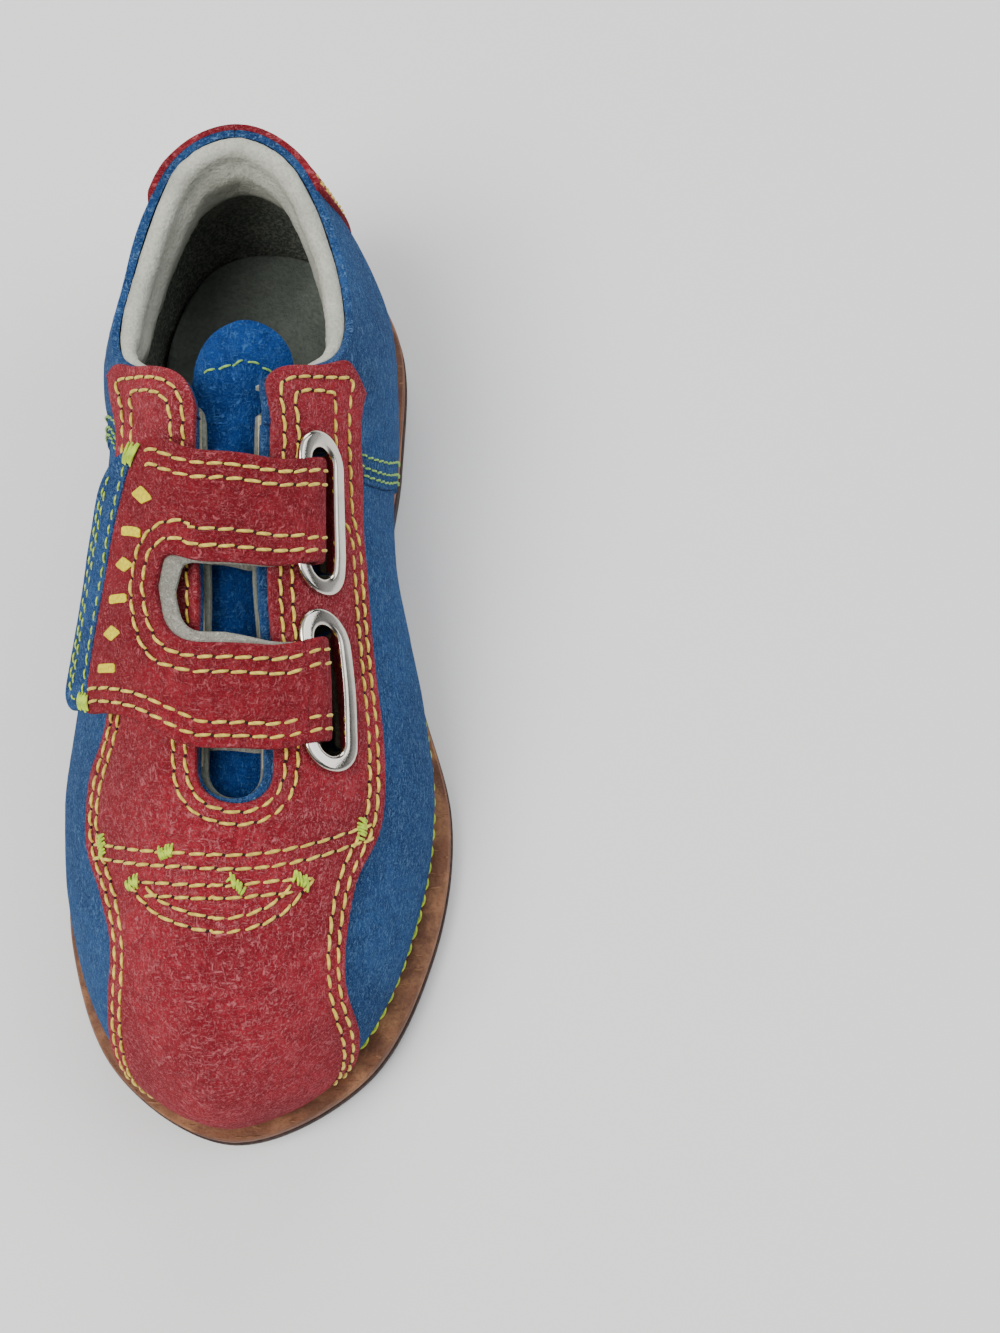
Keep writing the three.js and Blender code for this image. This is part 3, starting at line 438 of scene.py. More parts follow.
def triangles(paths, inner, holes):
    """Points and triangles that fill the first path around the holes."""
    edges, start = [], 0
    for path in paths:
        count = len(path)
        edges += [(start + k, start + (k + 1) % count) for k in range(count)]
        start += count
    seeds = [Vector(p) for p in np.vstack([*paths, *inner])]
    verts, _, faces, _, _, _ = geometry.delaunay_2d_cdt(seeds, edges, [], 1, 1e-4)
    flat, faces = np.array([tuple(v) for v in verts]), np.array(faces)
    for hole in holes:
        faces = faces[~inside_outline(flat[faces].mean(axis=1), hole)]
    return flat, faces


def patch(name, chart, outline, low, high, material, spacing=1.5, rim=0.45, relief=None, seam=None, under=0.0,
          holes=(), square=None, **options):
    """A closed sheet cut to an outline in a chart, with a softly rounded rim.

    low and high are the heights of its two faces, or functions of the place; relief raises the upper one.
    seam is a value of v where the outline isn't a free edge. Beyond square, a value of u, the rim isn't
    rounded. under rounds the lower rim too.
    """
    outline = np.asarray(outline, float)
    loops = [np.vstack([path, path[:1]]) for path in (outline, *holes)]
    inner = filling(outline, holes, loops, spacing, rim)
    flat, faces = triangles([outline, *holes], inner, holes)
    base, facing = chart(flat)
    a, b, c = (base[faces[:, k]] for k in range(3))
    if (np.cross(b - a, c - a) * facing[faces[:, 0]]).sum() < 0:
        faces = faces[:, ::-1]
    free = free_edges(loops[0], seam, square) + loops[1:]
    depth = np.clip(distance_to(flat, free) / rim, 0, 1)
    face_low, face_high = (h(flat) if callable(h) else np.full(len(flat), float(h)) for h in (low, high))
    if relief is not None:
        face_high = face_high + relief(base) * depth
    round_off = 1 - np.sqrt(np.clip(1 - (1 - depth) ** 2, 0, 1))
    face_high = face_high - rim * 0.8 * round_off
    face_low = face_low + under * round_off
    top = base + facing * face_high[:, None]
    bottom = base + facing * face_low[:, None]
    n = len(flat)
    directed = dict.fromkeys(pair for x, y, z in faces for pair in ((x, y), (y, z), (z, x)))
    walls = [(q, p, p + n, q + n) for p, q in directed if (q, p) not in directed]
    if seam is not None:
        walls = [wall for wall in walls if np.abs(flat[[wall[0], wall[1]], 1] - seam).max() > 0.01]
    all_faces = [tuple(f) for f in faces] + [tuple(f[::-1] + n) for f in faces] + walls
    return add_mesh(name, np.vstack([top, bottom]), all_faces, material, **options)


def tube_points(centres, normals, radii, sides):
    """Rings of a tube along each centre line; centres is (..., steps, 3)."""
    along = unit(np.gradient(centres, axis=-2))
    across = unit(np.cross(along, normals))
    up = np.cross(across, along)
    angles = (np.arange(sides) / sides * 2 * math.pi)[:, None]
    ring = np.cos(angles) * across[..., None, :] + np.sin(angles) * up[..., None, :]
    return centres[..., None, :] + ring * radii[..., None, None]


def grid_faces(columns, rows, closed=False):
    """Quads over a grid of columns x rows points; closed joins the last column to the first."""
    faces = []
    for i in range(columns if closed else columns - 1):
        a, b = i * rows, (i + 1) % columns * rows
        faces += [(a + j, b + j, b + j + 1, a + j + 1) for j in range(rows - 1)]
    return faces


# ---------------------------------------------------------------- sewing
class Sewing:
    """All the stitches of one thread on one body, gathered into one mesh."""

    SIDES, STEPS = 8, 9

    def __init__(self, name, seed):
        self.name, self.rng = name, np.random.default_rng(seed)
        self.rings, self.holes = [], []

    def run(self, chart, path, high, pitch=3.5, length=0.82, radius=0.33, closed=False, holes=True):
        """A row of stitches along a path; each dips into the leather at its two ends."""
        fine = straight(path, 0.5, closed)
        if closed:
            fine = np.vstack([fine, fine[:1]])
        base, facing = chart(fine)
        spots = base + facing * high
        lengths = lengths_along(spots)
        count = max(int(round(lengths[-1] / pitch)), 1)
        pitch = lengths[-1] / count
        middle = (np.arange(count) + 0.5) * pitch + self.rng.normal(0, 0.09, count)
        reach = pitch * length * (1 + self.rng.normal(0, 0.05, count))
        x = np.linspace(0, 1, self.STEPS)
        s = middle[:, None] + (x - 0.5) * reach[:, None]
        at, up = between(s, lengths, spots), between(s, lengths, facing)
        sideways = unit(np.cross(up, np.gradient(at, axis=1)))
        lift = -0.5 * radius + 1.15 * radius * np.sin(np.pi * x) ** 0.6
        slant = (self.rng.normal(0.13, 0.05, count))[:, None] * (2 * x - 1)
        centre = at + up * lift[None, :, None] + sideways * slant[..., None]
        thick = radius * (0.72 + 0.28 * np.sin(np.pi * x)) * (1 + self.rng.normal(0, 0.04, (count, 1)))
        self.rings.append(tube_points(centre, up, thick, self.SIDES))
        if holes:
            s = middle[:-1] + pitch / 2
            at = between(s, lengths, spots)
            self.holes.append((at, between(s, lengths, facing), between(s + 0.3, lengths, spots) - at))

    def tack(self, chart, centre, direction, high, reach=2.2, width=1.5, count=7, radius=0.3):
        """A bar-tack: a few close stitches across a line, with a little mess on top."""
        direction = unit(np.array(direction, float))
        across = np.array((-direction[1], direction[0]))
        for k in range(count):
            shift = direction * ((k + 0.5) / count - 0.5) * 2 * reach + self.rng.normal(0, 0.1, 2)
            turn = across * width * (1 + self.rng.normal(0, 0.12)) + direction * self.rng.normal(0.25, 0.25)
            ends = np.array([centre + shift - turn, centre + shift + turn])
            above = high + 0.12 + 0.1 * (k % 2)
            self.run(chart, ends, above, pitch=9, length=0.98, radius=radius, holes=False)

    def build(self, material, body, hole_shadow_material=None):
        rings = np.concatenate(self.rings)
        count, steps, sides = rings.shape[:3]
        one = []
        for i in range(steps - 1):
            for j in range(sides):
                a, b = i * sides + j, i * sides + (j + 1) % sides
                one.append((a, b, b + sides, a + sides))
        one += [tuple(range(sides))[::-1], tuple((steps - 1) * sides + j for j in range(sides))]
        size = steps * sides
        faces = [tuple(v + k * size for v in face) for k in range(count) for face in one]
        obj = add_mesh(self.name, rings.reshape(-1, 3), faces, material, body, sharp=60)
        layer = obj.data.uv_layers.new(name="thread")
        index = np.zeros(len(obj.data.loops), dtype=np.int32)
        obj.data.loops.foreach_get("vertex_index", index)
        local = index % size
        uv = np.stack([local // sides / (steps - 1), local % sides / sides], axis=1)
        layer.data.foreach_set("uv", uv.ravel().astype(np.float32))
        if hole_shadow_material:
            self.build_hole_shadows(hole_shadow_material, body)
        return obj

    def build_hole_shadows(self, material, body):
        """The needle's holes between the stitches: short plugs with a flat dark top, a painted shadow in each
        hole.
        """
        at, up, ahead = (np.concatenate([hole[k] for hole in self.holes]) for k in range(3))
        ahead = unit(ahead)
        angles = (np.arange(8) / 8 * 2 * math.pi)[None, :, None]
        rim = np.cos(angles) * ahead[:, None] * 0.42 + np.sin(angles) * np.cross(up, ahead)[:, None] * 0.3
        top = at[:, None] + rim + up[:, None] * 0.06
        low = at[:, None] + rim * 0.7 - up[:, None] * 0.25
        faces = []
        for o in range(0, 16 * len(at), 16):
            faces.append(tuple(o + j for j in range(8)))
            faces.append(tuple(o + 8 + j for j in reversed(range(8))))
            faces += [(o + 8 + j, o + 8 + (j + 1) % 8, o + (j + 1) % 8, o + j) for j in range(8)]
        points = np.concatenate([top, low], axis=1).reshape(-1, 3)
        add_mesh(self.name + "_needle_hole_painted_shadow", points, faces, material, body, sharp=30)


# ---------------------------------------------------------------- materials
def srgb(*levels):
    """A colour given as it looks on a screen, 0 to 255, as the renderer's linear one."""
    return tuple(c / 255 / 12.92 if c <= 10 else ((c / 255 + 0.055) / 1.055) ** 2.4 for c in levels) + (1.0,)


class Shader:
    """A few short words for building a node material."""

    def __init__(self, name):
        self.material = bpy.data.materials.new(name)
        self.material.use_nodes = True
        self.tree = self.material.node_tree
        self.surface = self.tree.nodes["Principled BSDF"]
        self.place = self.tree.nodes.new("ShaderNodeTexCoord").outputs["Object"]

    def link(self, value, socket):
        if isinstance(value, bpy.types.NodeSocket):
            self.tree.links.new(value, socket)
        else:
            socket.default_value = value

    def stretched(self, scale, turn=(0, 0, 0)):
        node = self.tree.nodes.new("ShaderNodeMapping")
        node.inputs["Scale"].default_value = scale
        node.inputs["Rotation"].default_value = turn
        self.link(self.place, node.inputs["Vector"])
        return node.outputs["Vector"]

    def noise(self, size, detail=3, rough=0.55, place=None, warp=0.0):
        """Noise with features of about this size in millimetres."""
        node = self.tree.nodes.new("ShaderNodeTexNoise")
        node.inputs["Scale"].default_value = 1000 / size
        node.inputs["Detail"].default_value = detail
        node.inputs["Roughness"].default_value = rough
        node.inputs["Distortion"].default_value = warp
        self.link(place if place is not None else self.place, node.inputs["Vector"])
        return node.outputs["Fac"]

    def spread(self, value, low, high, to_low=0.0, to_high=1.0):
        node = self.tree.nodes.new("ShaderNodeMapRange")
        node.interpolation_type = "SMOOTHSTEP"
        for name, number in (("From Min", low), ("From Max", high), ("To Min", to_low), ("To Max", to_high)):
            node.inputs[name].default_value = number
        self.link(value, node.inputs["Value"])
        return node.outputs["Result"]

    def mix(self, factor, a, b):
        node = self.tree.nodes.new("ShaderNodeMix")
        node.data_type = "RGBA"
        self.link(factor, node.inputs["Factor"])
        colours = [s for s in node.inputs if s.type == "RGBA"]
        self.link(a, colours[0])
        self.link(b, colours[1])
        return [s for s in node.outputs if s.type == "RGBA"][0]

    def maths(self, operation, a, b=0.0):
        node = self.tree.nodes.new("ShaderNodeMath")
        node.operation = operation
        self.link(a, node.inputs[0])
        self.link(b, node.inputs[1])
        return node.outputs[0]

    def bump(self, height, distance):
        node = self.tree.nodes.new("ShaderNodeBump")
        node.inputs["Distance"].default_value = distance / 1000
        node.inputs["Strength"].default_value = 1.0
        self.link(height, node.inputs["Height"])
        self.link(node.outputs["Normal"], self.surface.inputs["Normal"])

    def set(self, **values):
        for name, value in values.items():
            self.link(value, self.surface.inputs[name.replace("_", " ")])
        return self.material


def suede(name, body, dark, pale, nap=1.0):
    """Brushed split leather: broad worn patches, clumped nap, fine fibres and pale stray ones."""
    s = Shader(name)
    patches = s.spread(s.noise(21, 3, 0.6), 0.36, 0.64)
    clumps = s.noise(2.2, 4, 0.65, warp=0.6)
    fibre = s.noise(0.5, 4, 0.7, warp=0.4)
    strands = None
    for scale, turn in (((0.5, 2.4, 2.4), (0.3, 0.2, 0.7)), ((2.4, 0.55, 2.4), (0.5, -0.4, -0.5)),
                        ((0.8, 0.8, 2.8), (0.9, 0.3, 0.2))):
        strand = s.spread(s.noise(1.1, 2, 0.5, s.stretched(scale, turn), 1.2), 0.57, 0.70)
        strands = strand if strands is None else s.maths("MAXIMUM", strands, strand)
    colour = s.mix(s.maths("MULTIPLY", patches, 0.7), body, dark)
    colour = s.mix(s.spread(clumps, 0.36, 0.56, 0.6, 0.0), colour, dark)
    colour = s.mix(s.spread(clumps, 0.5, 0.72, 0.0, 0.14 * nap), colour, pale)
    colour = s.mix(s.spread(fibre, 0.5, 0.72, 0.0, 0.6 * nap), colour, pale)
    colour = s.mix(s.spread(fibre, 0.26, 0.46, 0.6, 0.0), colour, dark)
    colour = s.mix(s.maths("MULTIPLY", strands, 0.75 * nap), colour, pale)
    height = s.maths("ADD", s.maths("MULTIPLY", fibre, 0.9), s.maths("MULTIPLY", strands, 0.4))
    height = s.maths("ADD", height, s.maths("MULTIPLY", clumps, 1.5))
    s.bump(height, 1.0 * nap)
    return s.set(Base_Color=colour, Roughness=0.95, Specular_IOR_Level=0.1, Sheen_Weight=0.25,
                 Sheen_Roughness=0.5, Sheen_Tint=pale)


def lining_leather(name, body, dark, grain=1.0, painted_shade_colour=None):
    """Soft lining leather; the optional colour is a painted shade, mixed in low inside the shoe and darker
    towards the bottom.
    """
    s = Shader(name)
    soft = s.spread(s.noise(9, 3), 0.35, 0.65)
    pores = s.noise(0.7 * grain, 3, 0.6)
    colour = s.mix(s.maths("MULTIPLY", soft, 0.45), body, dark)
    if painted_shade_colour:
        # painted shade: the lining darkens towards the bottom of the shoe, by the object's height
        split = s.tree.nodes.new("ShaderNodeSeparateXYZ")
        s.link(s.place, split.inputs["Vector"])
        height = s.maths("ADD", split.outputs["Z"], s.maths("MULTIPLY", soft, 0.004))
        fully_shaded_below, unshaded_above = 0.036, 0.062
        colour = s.mix(s.spread(height, fully_shaded_below, unshaded_above, 1.0, 0.0), colour, painted_shade_colour)
    colour = s.mix(s.spread(pores, 0.35, 0.6, 0.45, 0.0), colour, dark)
    s.bump(s.maths("ADD", pores, s.maths("MULTIPLY", s.noise(2.4, 2), 1.2)), 0.35)
    return s.set(Base_Color=colour, Roughness=0.78, Specular_IOR_Level=0.25)


def thread_material(name, body, dark):
    s = Shader(name)
    uv = s.tree.nodes.new("ShaderNodeUVMap")
    uv.uv_map = "thread"
    wave = s.tree.nodes.new("ShaderNodeTexWave")
    wave.bands_direction = "DIAGONAL"
    wave.inputs["Scale"].default_value = 1.1
    wave.inputs["Distortion"].default_value = 0.6
    s.link(uv.outputs["UV"], wave.inputs["Vector"])
    ply = wave.outputs["Fac"]
    colour = s.mix(s.spread(ply, 0.0, 0.5, 0.55, 0.0), body, dark)
    colour = s.mix(s.spread(s.noise(7, 2), 0.4, 0.65, 0.0, 0.35), colour, dark)
    s.bump(ply, 0.12)
    return s.set(Base_Color=colour, Roughness=0.6, Specular_IOR_Level=0.3, Sheen_Weight=0.2)


def plain(name, body, dark, size=1.2, rough=0.8, bump=0.15, specular=0.3):
    s = Shader(name)
    grain = s.noise(size, 4, 0.6)
    colour = s.mix(s.spread(grain, 0.35, 0.65), body, dark)
    colour = s.mix(s.spread(s.noise(size * 14, 3), 0.4, 0.7, 0.0, 0.5), colour, dark)
    s.bump(grain, bump)
    return s.set(Base_Color=colour, Roughness=rough, Specular_IOR_Level=specular)


def sole_leather(name, body, dark, pale):
    """Worn brown sole leather: layered along its edge, rubbed pale in places, with short scratches."""
    s = Shader(name)
    layers = s.noise(1.0, 3, 0.6, s.stretched((0.04, 0.04, 1.6)))
    rubbed = s.spread(s.noise(8, 4, 0.65), 0.42, 0.68)
    scratch = s.spread(s.noise(1.0, 2, 0.5, s.stretched((0.2, 1.4, 2.2), (0, 0.3, 0.6)), 0.4), 0.62, 0.72)
    grain = s.noise(0.6, 3, 0.6)
    colour = s.mix(s.spread(layers, 0.35, 0.65, 0.0, 0.7), body, dark)
    colour = s.mix(s.maths("MULTIPLY", rubbed, 0.6), colour, pale)
    colour = s.mix(s.maths("MULTIPLY", scratch, 0.45), colour, pale)
    colour = s.mix(s.spread(grain, 0.3, 0.5, 0.4, 0.0), colour, dark)
    s.bump(s.maths("ADD", s.maths("ADD", grain, layers), scratch), 0.25)
    return s.set(Base_Color=colour, Roughness=s.spread(rubbed, 0, 1, 0.55, 0.8), Specular_IOR_Level=0.35)


def polished(name, body, rough):
    s = Shader(name)
    scratch = s.noise(0.5, 2, 0.5, s.stretched((0.35, 2.5, 2.5), (0.2, 0.4, 0.3)), 0.5)
    worn = s.spread(s.noise(5, 3), 0.45, 0.7)
    s.bump(s.maths("ADD", scratch, s.maths("MULTIPLY", s.noise(2.5, 2), 0.8)), 0.008)
    return s.set(Base_Color=s.mix(s.maths("MULTIPLY", worn, 0.3), body, srgb(150, 146, 140)), Metallic=1.0,
                 Roughness=s.spread(scratch, 0.3, 0.7, rough, rough * 2.2))


BLUE = suede("blue_suede", srgb(35, 77, 134), srgb(17, 44, 92), srgb(106, 148, 198))
BLUE_TONGUE = suede("blue_suede_tongue", srgb(20, 66, 138), srgb(10, 38, 92), srgb(70, 120, 185), 0.8)
RED = suede("red_suede", srgb(166, 34, 50), srgb(118, 18, 32), srgb(222, 122, 128))
RED_STRAP = suede("red_suede_strap", srgb(150, 30, 44), srgb(106, 16, 28), srgb(204, 104, 110), 0.9)
# grey lining, with a painted shade mixed in low inside the shoe
LINING = lining_leather("grey_lining_leather", srgb(196, 196, 184), srgb(150, 152, 140),
                        painted_shade_colour=srgb(70, 76, 70))
# a darker copy of the grey lining: painted shade for the lining deep inside the toe
LINING_PAINTED_SHADE = lining_leather("grey_lining_painted_shade", srgb(124, 128, 118), srgb(84, 88, 82))
FELT = suede("grey_strap_backing", srgb(172, 172, 160), srgb(128, 128, 116), srgb(222, 220, 208), 0.8)
YELLOW = thread_material("yellow_thread", srgb(236, 208, 84), srgb(176, 142, 40))
LIME = thread_material("lime_thread", srgb(196, 226, 44), srgb(132, 164, 30))
PALE_LIME = thread_material("pale_green_thread", srgb(150, 200, 90), srgb(84, 140, 60))
# dark tops for the needle holes: painted shadow
HOLE_SHADOW = plain("needle_hole_shadow", srgb(52, 12, 18), srgb(34, 8, 12), 0.5)
NICKEL = polished("polished_nickel", srgb(206, 200, 190), 0.06)
STEEL = polished("shank_steel", srgb(150, 152, 155), 0.3)
MIDSOLE_LEATHER = sole_leather("brown_midsole_leather", srgb(122, 76, 50), srgb(78, 45, 29),
                               srgb(176, 128, 92))
OUTSOLE_RUBBER = plain("dark_outsole", srgb(70, 50, 44), srgb(44, 32, 30), 1.0, 0.75)
HEEL_RUBBER = plain("black_heel_rubber", srgb(40, 37, 36), srgb(24, 22, 22), 0.9, 0.7, 0.2)
SOCK = lining_leather("sock_liner", srgb(96, 103, 96), srgb(70, 76, 70), 1.3)
BOARD = plain("insole_board", srgb(168, 140, 104), srgb(120, 96, 68), 1.5)
CORK = plain("cork_filler", srgb(176, 138, 90), srgb(96, 66, 38), 2.2, 0.9, 0.4)
STIFFENER = plain("stiffener_board", srgb(205, 196, 172), srgb(160, 148, 122), 0.9, 0.85)
FOAM = plain("collar_foam", srgb(217, 201, 143), srgb(170, 150, 96), 1.0, 0.95, 0.5)
TAPE = suede("hook_and_loop_tape", srgb(34, 42, 66), srgb(16, 20, 36), srgb(90, 98, 124), 1.4)
PRINT = plain("yellow_print", srgb(238, 224, 40), srgb(205, 184, 20), 0.6, 0.7, 0.2)

# ---------------------------------------------------------------- heights of the layers, as in the CAD source
QUARTER_LOW, QUARTER_HIGH = -1.2, 0.45
RED_LOW, RED_HIGH = 0.3, 1.6
FLAP_LOW, FLAP_HIGH = 5.6, 6.9
BACKING_LOW, BACKING_HIGH = 4.5, 5.5
THROAT_A, THROAT_HALF, THROAT_FRONT = 2.8, 6.25, -43.0
GROMMET_A, GROMMET_Y = 21.6, (-21.0, 12.0)
SLOT_LENGTH, SLOT_WIDTH, BAND_WIDTH = 24.0, 5.5, 19.2
TOE_V = END * STATION


def throat(medial=0.0, lateral=0.0, front=0.0, backs=(33, 27)):
    """The throat's edge in the front chart, from the medial facing's tip round the U to the lateral one."""
    left, right = THROAT_A - THROAT_HALF - lateral, THROAT_A + THROAT_HALF + medial
    half, middle = (right - left) / 2, (left + right) / 2
    depth = half * 0.86
    bottom = THROAT_FRONT - front + depth
    arc = [(middle + half * math.cos(a), bottom + depth * math.sin(a)) for a in np.linspace(0, -math.pi, 19)]
    path = joined(straight([(right, backs[0]), (right, bottom)], 2), arc,
                  straight([(left, bottom), (left, backs[1])], 2))
    points = instep_chart(path)[0]
    medial_part = path[:, 0] > 0
    place = np.zeros_like(path)
    place[medial_part] = laid(front_chart, points[medial_part], (0.02, 80), (40, TOE_V - 30))
    place[~medial_part] = laid(front_chart, points[~medial_part], (-40, 80), (-0.02, TOE_V - 30))
    behind = place[:, 1] < 118  # here the throat is open, so neither side may cross the ridge
    near_ridge = np.where(medial_part, np.maximum(place[:, 0], 0.4), np.minimum(place[:, 0], -0.4))
    place[behind, 0] = near_ridge[behind]
    return place


def from_above(points, medial):
    """A line seen from above, as places in the front chart on one wall."""
    low, high = ((0.3, 60), (69, TOE_V)) if medial else ((-69, 60), (-0.3, TOE_V))
    return laid(front_chart, np.array(points, float), low, high, axes=2)


def turned(path):
    """The same places in the rear chart."""
    path = np.asarray(path, float)
    return np.stack([np.sign(path[:, 0]) * path[:, 1], GIRTH - np.abs(path[:, 0])], axis=1)


def waved(size, amount, seed, fine=0.05):
    return lambda base: amount * undulation(base, size, seed) + fine * undulation(base, 2.4, seed + 1, 9)


def grooved(chart, rows, extra, depth=0.3, width=0.85):
    """Relief with a soft groove along each row of stitches."""
    grooves = [chart(straight(path, 0.8, closed))[0] for path, closed in rows]
    return lambda base: extra(base) - depth * np.exp(-(distance_to(base, grooves) / width) ** 2)


def eased(path, times):
    """The path with its corners eased; its ends stay."""
    path = path.copy()
    for _ in range(times):
        path[1:-1] = (path[:-2] + 2 * path[1:-1] + path[2:]) / 4
    return path


def twin(chart, path, first, gap):
    """Two open rows of stitches beside a path."""
    return [(moved_in(chart, path, distance), False) for distance in (first, first + gap)]


yellow = Sewing("yellow_stitches", 1)
lime = Sewing("lime_stitches", 2)
pale = Sewing("pale_green_stitches", 3)
flap_yellow = Sewing("strap_yellow_stitches", 4)
flap_lime = Sewing("tab_stitches", 5)
tongue_pale = Sewing("tongue_stitches", 6)

# ---------------------------------------------------------------- vamp and quarters
TUCK = 1.2  # how far the leather runs on below the feather line
FEATHER_U = GIRTH + TUCK
medial_seam = line([(9.5, 101.7), (22, 99.4), (34.9, 96.7), (46, 90.5), (58, 84), (FEATHER_U, 80.5)])
lateral_seam = line([(-1.2, 102.3), (-14, 100.4), (-28.8, 97.4), (-35.2, 86), (-50, 80), (-FEATHER_U, 78.5)])


def vamp_outline(edge, medial=medial_seam, lateral=lateral_seam):
    toe_side = straight([(FEATHER_U, 81), (FEATHER_U, TOE_V)])
    other = straight([(-FEATHER_U, TOE_V), (-FEATHER_U, 79)])
    across = straight([(FEATHER_U, TOE_V), (-FEATHER_U, TOE_V)])
    return joined(edge, lateral, other[::-1], across[::-1], toe_side[::-1], medial[::-1])


def front_patch(name, outline, low, high, material, **options):
    """A patch in the front chart, closed across the toe's middle line, where the chart's walls meet."""
    return patch(name, front_chart, outline, low, high, material, seam=TOE_V, weld=0.02, **options)


def slot_outline(middle, outside, spacing=0.9):
    """A slot's edge, widened, in the instep's drawing."""
    half_side, radius = (SLOT_LENGTH - SLOT_WIDTH) / 2, SLOT_WIDTH / 2 + outside
    turn = np.linspace(0, math.pi, 22)
    ring = [(GROMMET_A + radius * math.cos(a), middle + half_side + radius * math.sin(a)) for a in turn]
    ring += [(GROMMET_A - radius * math.cos(a), middle - half_side - radius * math.sin(a)) for a in turn]
    return straight(ring, spacing, closed=True)


SLOT_MARGIN = 1.35  # the leather's holes are this much wider than the slots
slots = [laid(front_chart, instep_chart(slot_outline(middle, SLOT_MARGIN))[0], (1, 90), (60, TOE_V - 40))
         for middle in GROMMET_Y]
leather_edge = throat()
front_edge = leather_edge[leather_edge[:, 1] > 101.0]
front_patch("vamp_leather", vamp_outline(front_edge), -LEATHER, 0.0, BLUE, spacing=1.4, rim=0.35,
            relief=waved(24, 0.22, 11), holes=slots, slot="blue_suede", replaces=["vamp"])
tip_medial = np.array([(9.2, 101.0), (8.4, 99), (6.4, 96.4), (2.6, 92.6), (0.3, 88)])
tip_lateral = np.array([(-1.4, 101.6), (-0.8, 99), (-0.3, 96)])


def quarter(name, sign, seam, tip, seed):
    """One rear side of the upper, from its lapped seam with the vamp to the middle of the heel."""
    seam, tip = turned(seam), turned(tip)
    start = 0.15 * sign
    feather = straight([(start, -TUCK), (seam[-1, 0], -TUCK)])
    rise = straight([(start, GIRTH), (start, -TUCK)])
    top = straight([tip[-1], (tip[-1, 0] - sign * 2, GIRTH), (start, GIRTH)])
    outline = joined(feather, seam[::-1], tip, top, rise)[:-1]
    rows = [(moved_in(rear_chart, seam[8:], d * sign), False) for d in (1.6, 3.4, 6.2)]
    patch(name + "_leather", rear_chart, outline, QUARTER_LOW, QUARTER_HIGH, BLUE, spacing=1.4, rim=0.5,
          slot="blue_suede", relief=grooved(rear_chart, rows, waved(22, 0.25, seed), 0.25), replaces=[name])
    for path, _ in rows:
        seen = path[path[:, 1] > GIRTH * 0.05]
        pale.run(rear_chart, seen, QUARTER_HIGH + 0.05, pitch=2.9, radius=0.24, length=0.74)


quarter("quarter_medial", 1, medial_seam, tip_medial, 21)
quarter("quarter_lateral", -1, lateral_seam, tip_lateral, 22)

# ---------------------------------------------------------------- red apron
APRON_LINE = 1.1  # spacing of the points along the apron's edge
lateral_long = from_above([(-24.5, 43), (-22.7, 35), (-22.4, 8), (-22.1, -23), (-26.1, -35.5), (-26.6, -47.5),
                           (-22.5, -58.5), (-19.7, -70.5), (-20.6, -84)], False)
lateral_long = line(np.vstack([lateral_long, [(-FEATHER_U, 198)]]), APRON_LINE)
medial_long = from_above([(25, 41), (24.2, 27), (25, 9), (26.5, -6), (28.2, -20), (29.5, -36.5),
                          (28.6, -45.5), (24.3, -57), (22.7, -73)], True)
medial_long = line(np.vstack([medial_long, [(52, 188), (FEATHER_U, 194)]]), APRON_LINE)
apron_edge = throat(1.5, 0.0, 0.9, backs=(34, 27))
half = len(apron_edge) // 2
kept_medial = apron_edge[:half][apron_edge[:half, 1] > 100.5]
kept_edge = np.vstack([kept_medial, apron_edge[half:]])
lateral_tip = line([kept_edge[-1], (-0.5, 95), (-0.5, 88), (-0.5, 81), (-0.9, 75.6), lateral_long[0]],
                   APRON_LINE)
medial_tip = line([medial_long[0], (11, 74.6), (2.5, 73.4), (0.6, 79), (0.5, 85.5), (3.2, 91.6), (8.2, 97.2),
                   kept_edge[0]], APRON_LINE)
toe_low = straight([(FEATHER_U, 194), (FEATHER_U, TOE_V)], APRON_LINE)
toe_low_lateral = straight([(-FEATHER_U, TOE_V), (-FEATHER_U, 198)], APRON_LINE)
toe_middle = straight([(FEATHER_U, TOE_V), (-FEATHER_U, TOE_V)], APRON_LINE)
apron_outline = joined(kept_edge, lateral_tip, lateral_long, toe_low_lateral[::-1], toe_middle[::-1],
                       toe_low[::-1], medial_long[::-1], medial_tip)[:-1]

apron_border = joined(medial_long[3:-2][::-1], medial_long[:3][::-1], medial_tip, kept_edge, lateral_tip,
                      lateral_long[:-2])
apron_border = eased(straight(apron_border, 1.0), 9)


def seen_path(points):
    """A curve drawn as seen from above, laid on the front chart."""
    return laid(front_chart, line(points, 1.2), (-60, 120), (60, TOE_V), axes=2)


cross = seen_path([(-24.6, -48.2), (-12, -51.9), (3.6, -53.4), (16, -50.4), (27.4, -44.2)])
smile_top = seen_path([(-16.3, -57.1), (0.5, -59.0), (17.4, -56.4)])
smile_arc = seen_path([(-16.3, -57.1), (-9.5, -64.0), (1.5, -67.3), (11, -64.2), (17.4, -56.4)])


def border_rows(border, distances):
    """Rows inside a border: spaced over the surface, and as seen from above around the facings' tips."""
    seen = front_chart(border)[0][:, :2]
    along = np.gradient(seen, axis=0)
    left = unit(np.stack([-along[:, 1], along[:, 0]], axis=1))
    rows = []
    for distance in distances:
        plan = seen + left * distance
        clear = distance_to(plan, [seen]) > 0.96 * distance
        tip = border[:, 1] < 106
        row = moved_in(front_chart, border, distance)
        row[tip] = laid(front_chart, plan[tip], (-70, 74), (70, 125), axes=2)
        rows.append((eased(straight(row[clear | ~tip], 1.0), 5), False))
    return rows


